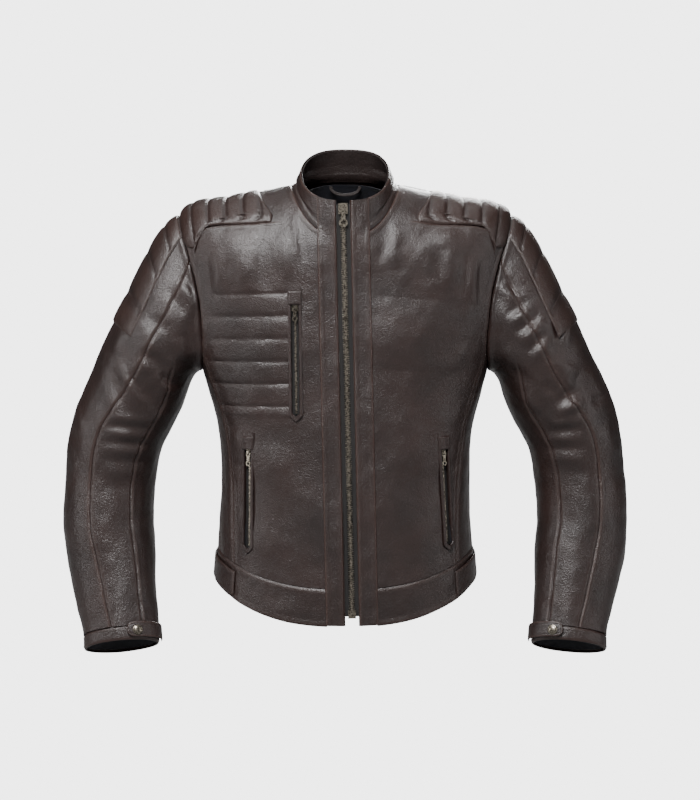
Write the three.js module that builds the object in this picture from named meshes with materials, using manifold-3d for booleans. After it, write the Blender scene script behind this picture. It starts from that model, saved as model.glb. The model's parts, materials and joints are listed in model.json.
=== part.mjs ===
// Leather riding jacket, closed, in the shape that a wearer gives it.
// Millimetres. +X is the wearer's left, -Y the front, +Z up.
// The origin is the centre of the neck opening, level with the neck ends of the shoulder seams.
import * as THREE from "three";
import { mergeVertices } from "three/addons/utils/BufferGeometryUtils.js";
import Module from "manifold-3d";

const wasm = await Module();
wasm.setup();

// ---- driving dimensions -------------------------------------------------------------------
const leatherThick = 1.6; // shell leather with its interfacing
const liningThick = 1;
const liningDepth = 11.8; // from the jacket's outer face to the lining, past the zips and pocket bags
const seamGap = 0.5; // between neighbouring pieces
const layerGap = 0.4; // between a piece and one lying on it

const zipTop = new THREE.Vector3(-3, -95, -17); // top stop of the main zip
const zipBottom = new THREE.Vector3(10, -135, -596); // foot of the main zip
const mainTapeHalf = 15;
const mainChainHalf = 3.6;
const mainChainThick = 3.4;
const tapeThick = 1.0;
const chainSplit = 0.6; // half of the slit between the two chain halves
const placketInner = 9.5; // from the zip's centre line to the placket's folded edge
const placketOuter = 37;

const bandTopLevel = 1; // the waistband is level 0 to level 1
const armholeLevel = 5;
const armholeReach = 1; // in levels, up to the shoulder and down to the armpit
const armholeSpread = 33; // degrees each way from the side line
const yokeNeckLevel = 7.4;
const yokeEdgeNeck = 44; // degrees from the centre front, at the neck end of the yoke's front seam
const yokeEdgeArm = 66;
const yokeEdgeBow = 0.6; // 1 is a straight seam, less bows it down the chest
const sideFrontTop = 68;
const sideFrontHem = 56;
const sideBackAngle = 112;
const slotAngle = 53; // where the waist strap comes out of the waistband
const neckLevel = 8;
const collarTopLevel = 10;

const elbowUpperEnd = 3.22; // stations where the stiff sleeve tubes stop, either side of the elbow
const elbowLowerEnd = 4.82;
const cuffSeamStation = 8.3;
const wristStation = 9;

const loopWide = 47;
const loopHang = 15;
const loopBand = 5;
const loopThick = 2;
const loopGap = 1.2;
const loopLevel = 7.9; // just below the collar seam, at the centre back

// ---- the form: the torso's levels, from the hem to the top of the collar -------------------
// halfWidth: half the width; sideY, sideZ: the side line; frontZ: height at the centre front, whose
// depth follows the zip; backY, backZ: the centre back; square: 2 is an ellipse, more is boxier;
// dip: how the edge falls from the side to the front, 2 in a smooth curve, 1 in a plane.
const torsoLevels = [
  { halfWidth: 189, sideY: 2, sideZ: -560, frontZ: -608, backY: 112, backZ: -572, square: 2.5, dip: 2 },
  { halfWidth: 185, sideY: 2, sideZ: -512, frontZ: -554, backY: 108, backZ: -522, square: 2.5, dip: 2 },
  { halfWidth: 180, sideY: 2, sideZ: -430, frontZ: -450, backY: 104, backZ: -435, square: 2.5, dip: 2 },
  { halfWidth: 184, sideY: 4, sideZ: -342, frontZ: -348, backY: 116, backZ: -342, square: 2.5, dip: 2 },
  { halfWidth: 206, sideY: 8, sideZ: -258, frontZ: -258, backY: 128, backZ: -258, square: 2.5, dip: 2 },
  { halfWidth: 238, sideY: 12, sideZ: -150, frontZ: -168, backY: 129, backZ: -155, square: 2.5, dip: 2 },
  { halfWidth: 237, sideY: 12, sideZ: -35, frontZ: -114, backY: 113, backZ: -82, square: 2.4, dip: 2 },
  { halfWidth: 158, sideY: 9, sideZ: -9, frontZ: -86, backY: 88, backZ: -28, square: 2.5, dip: 1.9 },
  { halfWidth: 76, sideY: 2, sideZ: 8, frontZ: -62, backY: 62, backZ: 16, square: 2.7, dip: 1.8 },
  { halfWidth: 69, sideY: -4, sideZ: 19, frontZ: -37, backY: 55, backZ: 38, square: 2.7, dip: 1.2 },
  { halfWidth: 63, sideY: -13, sideZ: 29, frontZ: -12, backY: 48, backZ: 60, square: 2.7, dip: 0.9 },
];

// ---- the form: the left sleeve's stations, from the armhole to the wrist --------------------
// x, y, z: the centre line; across: half-width; deep: half-depth; slant: how far the end's front
// edge is cut back.
const sleeveStations = [
  { x: 214, y: 8, z: -145, across: 100, deep: 76, slant: 0 },
  { x: 272, y: 6, z: -222, across: 71, deep: 78, slant: 0 },
  { x: 301, y: 8, z: -285, across: 70, deep: 74, slant: 0 },
  { x: 331, y: 10, z: -350, across: 68, deep: 70, slant: 0 },
  { x: 342, y: 9, z: -415, across: 65, deep: 67, slant: 0 },
  { x: 345, y: -3, z: -475, across: 65.5, deep: 64, slant: 0 },
  { x: 339, y: -20, z: -528, across: 64.5, deep: 58, slant: 0 },
  { x: 331, y: -42, z: -580, across: 58, deep: 49, slant: 0 },
  { x: 323, y: -61, z: -621, across: 54, deep: 40, slant: 1 },
  { x: 320, y: -73, z: -649, across: 54, deep: 36, slant: 2 },
];

const materials = {
  leather: new THREE.MeshStandardMaterial({ color: 0x3a2c29, roughness: 0.5, metalness: 0 }),
  leatherTrim: new THREE.MeshStandardMaterial({ color: 0x33261f, roughness: 0.55, metalness: 0 }),
  lining: new THREE.MeshStandardMaterial({ color: 0x15161c, roughness: 0.9, metalness: 0 }),
  tape: new THREE.MeshStandardMaterial({ color: 0x1a1a1a, roughness: 0.9, metalness: 0 }),
  metal: new THREE.MeshStandardMaterial({ color: 0x9a9488, roughness: 0.35, metalness: 1 }),
  armour: new THREE.MeshStandardMaterial({ color: 0x6b6b70, roughness: 0.8, metalness: 0 }),
};

// ---- helpers --------------------------------------------------------------------------------
const rad = THREE.MathUtils.degToRad;
const lerp = THREE.MathUtils.lerp;
const smooth = (t) => THREE.MathUtils.smoothstep(t, 0, 1);
const signedPower = (x, p) => Math.sign(x) * Math.abs(x) ** p;

// A row of a table of numbers, read between its entries by a Catmull-Rom curve.
function readTable(table, at) {
  const last = table.length - 1;
  const i = THREE.MathUtils.clamp(Math.floor(at), 0, last - 1);
  const t = at - i;
  const row = (k) => table[THREE.MathUtils.clamp(k, 0, last)];
  const out = {};
  for (const key of Object.keys(table[0])) {
    const [p0, p1, p2, p3] = [row(i - 1)[key], row(i)[key], row(i + 1)[key], row(i + 2)[key]];
    const m1 = i === 0 ? p2 - p1 : (p2 - p0) / 2;
    const m2 = i === last - 1 ? p2 - p1 : (p3 - p1) / 2;
    const t2 = t * t;
    const t3 = t2 * t;
    out[key] = (2 * t3 - 3 * t2 + 1) * p1 + (t3 - 2 * t2 + t) * m1 + (3 * t2 - 2 * t3) * p2 + (t3 - t2) * m2;
  }
  return out;
}

// The zip's straight centre line at a height.
function zipAt(z) {
  return zipTop.clone().lerp(zipBottom, (zipTop.z - z) / (zipTop.z - zipBottom.z));
}

// A point of the torso's outer face: angle in degrees from the centre front to the wearer's left.
function torso(angle, level) {
  const form = readTable(torsoLevels, level);
  const s = Math.sin(rad(angle));
  const c = Math.cos(rad(angle));
  const power = 2 / form.square;
  const endY = c >= 0 ? zipAt(form.frontZ).y : form.backY;
  const endZ = c >= 0 ? form.frontZ : form.backZ;
  return new THREE.Vector3(
    form.halfWidth * signedPower(s, power),
    form.sideY + (endY - form.sideY) * Math.abs(c) ** power,
    form.sideZ + (endZ - form.sideZ) * Math.abs(c) ** form.dip,
  );
}

// The torso angle of a place near the centre front, given by its distance from the zip's line.
function angleBesideZip(distance, level) {
  const form = readTable(torsoLevels, level);
  const x = zipAt(form.frontZ).x + distance;
  return THREE.MathUtils.radToDeg(Math.asin(signedPower(x / form.halfWidth, form.square / 2)));
}

// The armhole: turn is 0 at its front, 90 at the shoulder, 180 at its back and 270 at the armpit.
function armhole(turn) {
  const angle = 90 - armholeSpread * Math.cos(rad(turn));
  return torso(angle, armholeLevel + armholeReach * Math.sin(rad(turn)));
}

function armholeAngle(level) {
  const up = (level - armholeLevel) / armholeReach;
  return armholeSpread * Math.sqrt(Math.max(0, 1 - up * up));
}

function armholeRise(angle) {
  const across = (angle - 90) / armholeSpread;
  return armholeReach * Math.sqrt(Math.max(0, 1 - across * across));
}

// The directions of the sleeve's centre line at a station: along, to the front and outwards.
function sleeveAxes(station) {
  const place = (at) => {
    const s = readTable(sleeveStations, at);
    return new THREE.Vector3(s.x, s.y, s.z);
  };
  const along = place(station + 0.02).sub(place(station - 0.02)).normalize();
  const front = new THREE.Vector3(0, -1, 0).projectOnPlane(along).normalize();
  const out = front.clone().cross(along);
  return { centre: place(station), along, front, out };
}

const sleeveLeaves = new THREE.Vector3(0.87, 0, -0.5); // the way the sleeve leaves the armhole

const underarmHold = 0.4; // how soon, towards the underarm, the head runs straight to the first ellipse

// A point of the left sleeve's outer face: turn as in armhole, station along the sleeve.
function sleeve(turn, station) {
  const c = Math.cos(rad(turn));
  const under = smooth(-Math.sin(rad(turn)) / underarmHold);
  const held = station < 1 ? lerp(station, 1, under) : station;
  const form = readTable(sleeveStations, held);
  const { centre, along, front, out } = sleeveAxes(held);
  const ring = centre
    .addScaledVector(out, form.across * Math.sin(rad(turn)))
    .addScaledVector(front, form.deep * c)
    .addScaledVector(along, -form.slant * c);
  if (station >= 1) return ring;
  const from = armhole(turn);
  const handle = from.distanceTo(ring) * 0.33;
  const leaving = from.clone().addScaledVector(sleeveLeaves, handle);
  const arriving = ring.clone().addScaledVector(along, -handle);
  return new THREE.CubicBezierCurve3(from, leaving, arriving, ring).getPoint(station);
}

// A surface's outward direction, from two short steps along it.
function normalOf(surface, u, v) {
  const du = 0.4;
  const dv = 0.01;
  const alongU = surface(u + du, v).sub(surface(u - du, v));
  const alongV = surface(u, v + dv).sub(surface(u, v - dv));
  return alongU.cross(alongV).normalize();
}

const torsoNormal = (angle, level) => normalOf(torso, angle, level);

// The sleeve's outward direction: near the armhole it is taken from the centre line, so that it never
// folds at the armpit.
function sleeveNormal(turn, station) {
  const spoke = sleeve(turn, station).sub(sleeveAxes(station).centre).normalize();
  const square = normalOf(sleeve, turn, station).negate();
  return spoke.lerp(square, smooth((station - 0.8) / 0.8)).normalize();
}

function raised(surface, normal, u, v, height) {
  return surface(u, v).addScaledVector(normal(u, v), height);
}

// Turns a list of triangles round if they enclose a negative volume.
function facingOut(positions, index) {
  let volume = 0;
  const at = (i) => new THREE.Vector3().fromArray(positions, 3 * i);
  for (let i = 0; i < index.length; i += 3) {
    volume += at(index[i]).dot(at(index[i + 1]).cross(at(index[i + 2])));
  }
  if (volume < 0) index.reverse();
  const geometry = new THREE.BufferGeometry();
  geometry.setAttribute("position", new THREE.Float32BufferAttribute(positions, 3));
  return geometry.setIndex(index);
}

// A closed sheet between two skins of one grid: at(i, j, k) gives a point, k 0 outside and 1 inside.
// A wrapped sheet closes on itself along i.
function sheetBetween(at, columns, rows, wrapped = false) {
  const positions = [];
  const index = [];
  const across = wrapped ? columns : columns + 1;
  for (const k of [0, 1]) {
    for (let j = 0; j <= rows; j++) {
      for (let i = 0; i < across; i++) positions.push(...at(i / columns, j / rows, k).toArray());
    }
  }
  const skin = across * (rows + 1);
  const id = (i, j, k) => k * skin + j * across + (i % across);
  const quad = (a, b, c, d) => index.push(a, b, c, a, c, d);
  for (let j = 0; j < rows; j++) {
    for (let i = 0; i < columns; i++) {
      quad(id(i, j, 0), id(i + 1, j, 0), id(i + 1, j + 1, 0), id(i, j + 1, 0));
      quad(id(i, j, 1), id(i, j + 1, 1), id(i + 1, j + 1, 1), id(i + 1, j, 1));
    }
  }
  for (let i = 0; i < columns; i++) {
    quad(id(i, 0, 0), id(i, 0, 1), id(i + 1, 0, 1), id(i + 1, 0, 0));
    quad(id(i, rows, 0), id(i + 1, rows, 0), id(i + 1, rows, 1), id(i, rows, 1));
  }
  if (!wrapped) {
    for (let j = 0; j < rows; j++) {
      quad(id(0, j, 0), id(0, j + 1, 0), id(0, j + 1, 1), id(0, j, 1));
      quad(id(columns, j, 0), id(columns, j, 1), id(columns, j + 1, 1), id(columns, j + 1, 0));
    }
  }
  return facingOut(positions, index);
}

// A cut piece of leather on a form: place(i, j) gives its two surface coordinates, for i and j from
// 0 to 1, and side is 1 on the wearer's left and -1 on the right.
function pieceOn(surface, normal, place, columns, rows, options = {}) {
  const { side = 1, outer = 0, inner = -leatherThick, wrapped = false } = options;
  const at = (i, j, k) => {
    const [u, v] = place(i, j);
    const height = k === 0 ? outer : inner;
    const lift = typeof height === "function" ? height(u, v) : height;
    return raised(surface, normal, u, v, lift).multiply(new THREE.Vector3(side, 1, 1));
  };
  return sheetBetween(at, columns, rows, wrapped);
}

const onTorso = (place, columns, rows, options) => pieceOn(torso, torsoNormal, place, columns, rows, options);
// The right sleeve's grids run the other way, so that both sleeves' faces come out in the same order.
const onSleeve = (place, columns, rows, options) =>
  pieceOn(sleeve, sleeveNormal, (i, j) => place(options.side > 0 ? i : 1 - i, j), columns, rows, options);

// Reads a fraction from 0 to 1 as a place in a list of breaks, each with steps to the next one.
function rowsThrough(breaks) {
  const rows = [];
  breaks.slice(0, -1).forEach(([from, steps], i) => {
    for (let k = 0; k < steps; k++) rows.push(lerp(from, breaks[i + 1][0], k / steps));
  });
  rows.push(breaks.at(-1)[0]);
  return rows;
}

function solid(geometry) {
  const bare = (geometry.index ? geometry.toNonIndexed() : geometry.clone()).deleteAttribute("normal");
  const merged = mergeVertices(bare.deleteAttribute("uv"), 1e-4);
  return new wasm.Manifold(
    new wasm.Mesh({
      numProp: 3,
      vertProperties: new Float32Array(merged.attributes.position.array),
      triVerts: new Uint32Array(merged.index.array),
    }),
  );
}

function geometryOf(manifold) {
  const mesh = manifold.getMesh();
  const positions = [];
  for (let i = 0; i < mesh.numVert; i++) {
    positions.push(...mesh.vertProperties.subarray(i * mesh.numProp, i * mesh.numProp + 3));
  }
  const geometry = new THREE.BufferGeometry();
  geometry.setAttribute("position", new THREE.Float32BufferAttribute(positions, 3));
  return geometry.setIndex(new THREE.BufferAttribute(mesh.triVerts, 1));
}

const jacket = new THREE.Group();

function addPiece(name, geometry, material, parent = jacket) {
  const mesh = new THREE.Mesh(geometry, material);
  mesh.name = name;
  parent.add(mesh);
  return mesh;
}

const sides = [
  ["left", 1],
  ["right", -1],
];

// ---- zips -----------------------------------------------------------------------------------
// A zip is built upright in its own frame: +Z up the chain from its top stop, -Y towards the viewer.
function placedGroup(top, bottom, outward) {
  const up = top.clone().sub(bottom).normalize();
  const back = outward.clone().negate().projectOnPlane(up).normalize();
  const right = back.clone().cross(up);
  const group = new THREE.Group();
  group.quaternion.setFromRotationMatrix(new THREE.Matrix4().makeBasis(right, back, up));
  group.position.copy(top);
  group.updateMatrixWorld(true);
  jacket.add(group);
  return group;
}

function boxBetween(x0, x1, y0, y1, z0, z1) {
  const box = new THREE.BoxGeometry(x1 - x0, y1 - y0, z1 - z0);
  return box.translate((x0 + x1) / 2, (y0 + y1) / 2, (z0 + z1) / 2);
}

function joined(...geometries) {
  return geometryOf(geometries.map(solid).reduce((a, b) => a.add(b)));
}

// One half of a zip: the tape and its row of teeth as one bar. side is 1 to the viewer's right.
function zipHalf(side, zip) {
  const { chainHalf, chainThick, tapeHalf, from, to } = zip;
  const tape = boxBetween(chainHalf - 1, tapeHalf, -tapeThick / 2, tapeThick / 2, from, to);
  const chain = boxBetween(chainSplit, chainHalf, -chainThick / 2, chainThick / 2, from, to);
  const half = joined(tape, chain);
  return side > 0 ? half : facingOut(Array.from(half.attributes.position.array, (c, i) => (i % 3 ? c : -c)), [
    ...half.index.array,
  ]);
}

// The slider: two blades round the chain, a thin web between its halves and a crown for the pull.
// Its top edge is at z 0.
function sliderGeometry({ half, long, chainHalf, chainThick }) {
  const clear = 0.5;
  const blade = 1.5;
  const web = chainSplit / 2;
  const reach = chainThick / 2 + clear;
  const front = boxBetween(-half, half, -reach - blade, -reach, -long, 0);
  const back = boxBetween(-half, half, reach, reach + blade, -long, 0);
  const middle = boxBetween(-web, web, -reach - blade / 2, reach + blade / 2, -long * 0.3, -long * 0.1);
  const flangeInner = chainHalf + clear;
  const flangeFoot = -tapeThick / 2 - clear;
  const flanges = [-1, 1].map((s) => {
    const [a, b] = [s * flangeInner, s * half].sort((p, q) => p - q);
    return boxBetween(a, b, -reach - blade / 2, flangeFoot, -long, -long * 0.15);
  });
  const crown = crownOf(long).translate(0, -reach - blade + 0.1, -long * 0.5);
  return joined(front, back, middle, ...flanges, crown);
}

const crownBar = 1.1;
const crownRoom = 2.6; // clear height under the crown
const crownHalf = 1.3; // half of its width
const crownShare = 0.32; // half of its length, as a share of the slider's

// The crown: a small bridge along the slider, standing towards -Y.
function crownOf(long) {
  const reach = long * crownShare;
  const outline = new THREE.Shape();
  outline.moveTo(-reach, 0);
  outline.lineTo(reach, 0);
  outline.lineTo(reach, crownRoom);
  outline.lineTo(reach - crownBar, crownRoom + crownBar);
  outline.lineTo(-reach + crownBar, crownRoom + crownBar);
  outline.lineTo(-reach, crownRoom);
  outline.closePath();
  const room = new THREE.Path();
  room.moveTo(-reach + crownBar, 0.3);
  room.lineTo(-reach + crownBar, crownRoom);
  room.lineTo(reach - crownBar, crownRoom);
  room.lineTo(reach - crownBar, 0.3);
  room.closePath();
  outline.holes.push(room);
  const bridge = new THREE.ExtrudeGeometry(outline, { depth: 2 * crownHalf, bevelEnabled: false });
  bridge.translate(0, 0, -crownHalf);
  // The outline's x runs along the slider and its y outwards.
  const basis = new THREE.Matrix4().makeBasis(
    new THREE.Vector3(0, 0, 1),
    new THREE.Vector3(0, -1, 0),
    new THREE.Vector3(1, 0, 0),
  );
  return bridge.applyMatrix4(basis);
}

// The pull: a flat tab with a window that hooks the crown and a ring at its end. It hangs from its
// top bar, whose centre is the origin.
function pullGeometry({ long, neckHalf, ringRadius, holeRadius, thick }, slider) {
  const bar = thick / 2;
  const windowHalf = crownHalf + 0.5;
  const windowEnd = slider.long * crownShare + 0.5 + 0.8;
  const shoulder = windowHalf + 1.5;
  const ringZ = -(long - ringRadius - bar);
  const outline = new THREE.Shape();
  outline.moveTo(-shoulder, bar);
  outline.lineTo(shoulder, bar);
  outline.lineTo(shoulder, -windowEnd);
  outline.lineTo(neckHalf, -windowEnd - 2);
  const reachAngle = Math.acos(neckHalf / ringRadius);
  const ringSteps = 12;
  for (let i = 0; i <= ringSteps; i++) {
    const a = lerp(reachAngle, -Math.PI - reachAngle, i / ringSteps);
    outline.lineTo(ringRadius * Math.cos(a), ringZ + ringRadius * Math.sin(a));
  }
  outline.lineTo(-neckHalf, -windowEnd - 2);
  outline.lineTo(-shoulder, -windowEnd);
  outline.closePath();
  const eye = new THREE.Path();
  eye.moveTo(-windowHalf, -bar);
  eye.lineTo(-windowHalf, -windowEnd + 0.8);
  eye.lineTo(windowHalf, -windowEnd + 0.8);
  eye.lineTo(windowHalf, -bar);
  eye.closePath();
  const hole = new THREE.Path();
  for (let i = 0; i < ringSteps; i++) {
    const a = (2 * Math.PI * i) / ringSteps;
    const point = [holeRadius * Math.cos(a), ringZ + holeRadius * Math.sin(a)];
    if (i === 0) hole.moveTo(...point);
    else hole.lineTo(...point);
  }
  hole.closePath();
  outline.holes.push(eye, hole);
  const plate = new THREE.ExtrudeGeometry(outline, { depth: thick, bevelEnabled: false, curveSegments: 8 });
  return plate.translate(0, 0, -thick / 2).rotateX(Math.PI / 2);
}

// Where the pull's bar sits, out from the chain's middle and down from the slider's top.
function pullSeat({ long, chainThick }, thick) {
  return { out: chainThick / 2 + 0.5 + 1.5 - 0.1 + 0.3 + (crownRoom - 0.3) / 2 - thick * 0, down: long * 0.5 };
}

function addSliderAndPull(prefix, group, slider, pull, restAt) {
  addPiece(`${prefix}_slider`, sliderGeometry(slider), materials.metal, group).position.z = restAt;
  const seat = pullSeat(slider, pull.thick);
  const tab = addPiece(`${prefix}_pull`, pullGeometry(pull, slider), materials.metal, group);
  tab.position.set(0, -seat.out, restAt - seat.down);
}

// ---- main zip ---------------------------------------------------------------------------------
const mainSlider = { half: 6.4, long: 15, chainHalf: mainChainHalf, chainThick: mainChainThick };
const mainPull = { long: 27, neckHalf: 3.0, ringRadius: 6.2, holeRadius: 3.4, thick: 1.6 };
const mainZipLength = zipTop.distanceTo(zipBottom);
const retainerTall = 12;
const tapeSink = 1.6; // for the curve of the plackets over the straight zip
const tapeDepth = leatherThick + tapeSink + tapeThick / 2; // the tape's middle, behind the outer face
const mainZip = placedGroup(zipTop, zipBottom, new THREE.Vector3(0, -1, 0));
mainZip.position.addScaledVector(new THREE.Vector3(0, 1, 0), tapeDepth);
for (const [name, side] of sides) {
  const half = zipHalf(side, {
    chainHalf: mainChainHalf,
    chainThick: mainChainThick,
    tapeHalf: mainTapeHalf,
    from: -mainZipLength + retainerTall,
    to: -2,
  });
  addPiece(`main_zip_tape_${name}`, half, materials.tape, mainZip);
}
addPiece(
  "main_zip_retainer",
  boxBetween(-5.5, 5.5, -2.6, 2.6, -mainZipLength, -mainZipLength + retainerTall - seamGap),
  materials.metal,
  mainZip,
);
addSliderAndPull("main_zip", mainZip, mainSlider, mainPull, 0);

// ---- pockets --------------------------------------------------------------------------------------
const pocketChain = { chainHalf: 2.6, chainThick: 2.6 };
const pocketSlider = { half: 4.6, long: 10, ...pocketChain };
const pocketPull = { long: 20, neckHalf: 2.2, ringRadius: 3.9, holeRadius: 2.1, thick: 1.3 };
const pocketSink = 1; // least depth of the chain's front below the panel's inner face
const windowHalf = 6.5; // half of the opening cut in the panel
const weltHalf = 10; // half of the stitched frame round it
const weltEnd = 8; // how far the frame runs on past the opening
const weltThick = 1.4;
const weltSlotHalf = 5.4; // half of the slot between the frame's lips
const garageTall = 16; // the patch over the zip's top end
const bagWall = 0.5;
const bagFront = leatherThick + 0.7; // depths of the bag's two faces
const bagBack = liningDepth - 1.4;
const mouthDeep = 4; // how far behind the zip the bag's mouth is cut

// Each pocket: its side, the distance from the main zip and the level of its opening's two ends, and
// how far its bag reaches past the opening, in degrees to either side and in levels.
const pockets = {
  chest_pocket: { side: -1, top: [70, 5.38], bottom: [72, 3.38], bag: [2.6, 22, 0.16, 0.12] },
  hand_pocket_left: { side: 1, top: [134, 2.98], bottom: [139, 1.37], bag: [16, 3.5, 0.12, 0.1] },
  hand_pocket_right: { side: -1, top: [141, 2.98], bottom: [146, 1.37], bag: [16, 3.5, 0.12, 0.1] },
};

const degreesFor = (mm, angle, level) => mm / torso(angle + 0.5, level).distanceTo(torso(angle - 0.5, level));
const levelsFor = (mm, angle, level) => (mm * 0.1) / torso(angle, level + 0.05).distanceTo(torso(angle, level - 0.05));

const windows = { left: [], right: [] };
for (const [name, pocket] of Object.entries(pockets)) {
  const { side, bag } = pocket;
  const onFace = ([distance, level]) => [side * angleBesideZip(side * distance, level), level];
  const top = onFace(pocket.top);
  const bottom = onFace(pocket.bottom);
  const mirror = new THREE.Vector3(side, 1, 1);
  const middle = [(top[0] + bottom[0]) / 2, (top[1] + bottom[1]) / 2];
  const ends = [top, bottom].map(([angle, level]) => torso(angle, level).multiply(mirror));
  const outward = torsoNormal(...middle).multiply(mirror);
  const group = placedGroup(ends[0], ends[1], outward);
  const long = ends[0].distanceTo(ends[1]);
  const sag = Math.max(
    ...[0, 0.25, 0.5, 0.75, 1].map((t) => {
      const face = torso(lerp(top[0], bottom[0], t), lerp(top[1], bottom[1], t)).multiply(mirror);
      return ends[0].clone().lerp(ends[1], t).sub(face).dot(outward);
    }),
  );
  const zipDepth = leatherThick + pocketSink + sag + pocketChain.chainThick / 2;
  group.position.addScaledVector(outward, -zipDepth);
  group.updateMatrixWorld(true);
  const cutter = (half, below) =>
    solid(boxBetween(-half, half, -30, 20, -long, -below).applyMatrix4(group.matrixWorld));
  windows[side > 0 ? "left" : "right"].push(cutter(windowHalf, 0));

  const stop = solid(boxBetween(-pocketChain.chainHalf, pocketChain.chainHalf, -1.6, 1.6, -long + 1.2, -long + 4));
  const halves = [-1, 1].map((way) =>
    solid(zipHalf(way, { ...pocketChain, tapeHalf: windowHalf - seamGap, from: -long + 1, to: -1 })),
  );
  addPiece(`${name}_zip`, geometryOf(stop.add(halves[0]).add(halves[1])), materials.tape, group);
  addSliderAndPull(name, group, pocketSlider, pocketPull, -garageTall + 1);

  const welt = onTorso(
    (i, j) => {
      const run = lerp(-weltEnd / long, 1 + weltEnd / long, 1 - j);
      const level = lerp(top[1], bottom[1], run);
      const angle = lerp(top[0], bottom[0], run);
      return [angle + (2 * i - 1) * degreesFor(weltHalf, angle, level), level];
    },
    2,
    8,
    { side, outer: layerGap + 0.3 + weltThick, inner: layerGap + 0.3 },
  );
  const frame = solid(welt).subtract(cutter(weltSlotHalf, garageTall));
  addPiece(`${name}_welt`, geometryOf(frame), materials.leather);

  const [inwards, outwards, above, below] = bag;
  const bagOf = (shrink, outer, inner) => {
    const place = (i, j) => {
      const rough = lerp(bottom[1] - below, top[1] + above, j);
      const run = (top[1] - rough) / (top[1] - bottom[1]);
      const angle = lerp(lerp(top[0], bottom[0], run) - inwards, lerp(top[0], bottom[0], run) + outwards, i);
      const inAngle = (1 - 2 * i) * degreesFor(shrink, angle, rough);
      return [angle + inAngle, rough + (1 - 2 * j) * levelsFor(shrink, angle, rough)];
    };
    return solid(onTorso(place, 7, 12, { side, outer, inner }));
  };
  const room = bagOf(bagWall + 0.3, -bagFront - bagWall, -bagBack + bagWall);
  const hollow = bagOf(0, -bagFront, -bagBack).subtract(room);
  addPiece(`${name}_bag`, geometryOf(hollow.subtract(cutterFront(group, long))), materials.lining);
}

// The bag's mouth, cut through its front wall only.
function cutterFront(group, long) {
  const mouth = boxBetween(-windowHalf, windowHalf, -30, mouthDeep, -long - 1, 1);
  return solid(mouth.applyMatrix4(group.matrixWorld));
}

// ---- torso shell --------------------------------------------------------------------------------
const armholeFootLevel = armholeLevel - Math.sqrt(1 - ((90 - sideFrontTop) / armholeSpread) ** 2);
const yokeArmLevel = armholeLevel + Math.sqrt(1 - ((90 - yokeEdgeArm) / armholeSpread) ** 2);
const angleGap = 0.25; // degrees, about seamGap on the torso
const levelGap = 0.008;
const stripLap = 0.03;

// The front panel's outer edge: side seam, armhole and yoke seam.
function frontEdge(level) {
  if (level <= armholeFootLevel) {
    return lerp(sideFrontHem, sideFrontTop, (level - bandTopLevel) / (armholeFootLevel - bandTopLevel));
  }
  if (level <= yokeArmLevel) return 90 - armholeAngle(level);
  const along = Math.min(1, (level - yokeArmLevel) / (yokeNeckLevel - yokeArmLevel));
  return lerp(yokeEdgeArm, yokeEdgeNeck, along ** yokeEdgeBow);
}

// The back panel's edge, measured from the centre front as well.
function backEdge(level) {
  if (level <= armholeFootLevel) return sideBackAngle;
  return 180 - frontEdge(level);
}

const panelRows = rowsThrough([
  [bandTopLevel + levelGap, 5],
  [armholeFootLevel, 5],
  [yokeArmLevel, 4],
  [yokeNeckLevel + stripLap],
]);
const panelLevel = (j) => panelRows[Math.round(j * (panelRows.length - 1))];

// The part of a panel between the yokes and the collar, joined to the rest over a narrow lap.
function neckStrip(edges, columns, side = 1) {
  const place = (i, j) => {
    const level = lerp(yokeNeckLevel, neckLevel - levelGap, j);
    const [from, to] = edges(level);
    return [lerp(from, to, i), level];
  };
  return solid(onTorso(place, columns, 2, { side }));
}

const placketRows = rowsThrough([
  [0.01, 12],
  [neckLevel + levelGap, 3],
  [collarTopLevel],
]);

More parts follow.
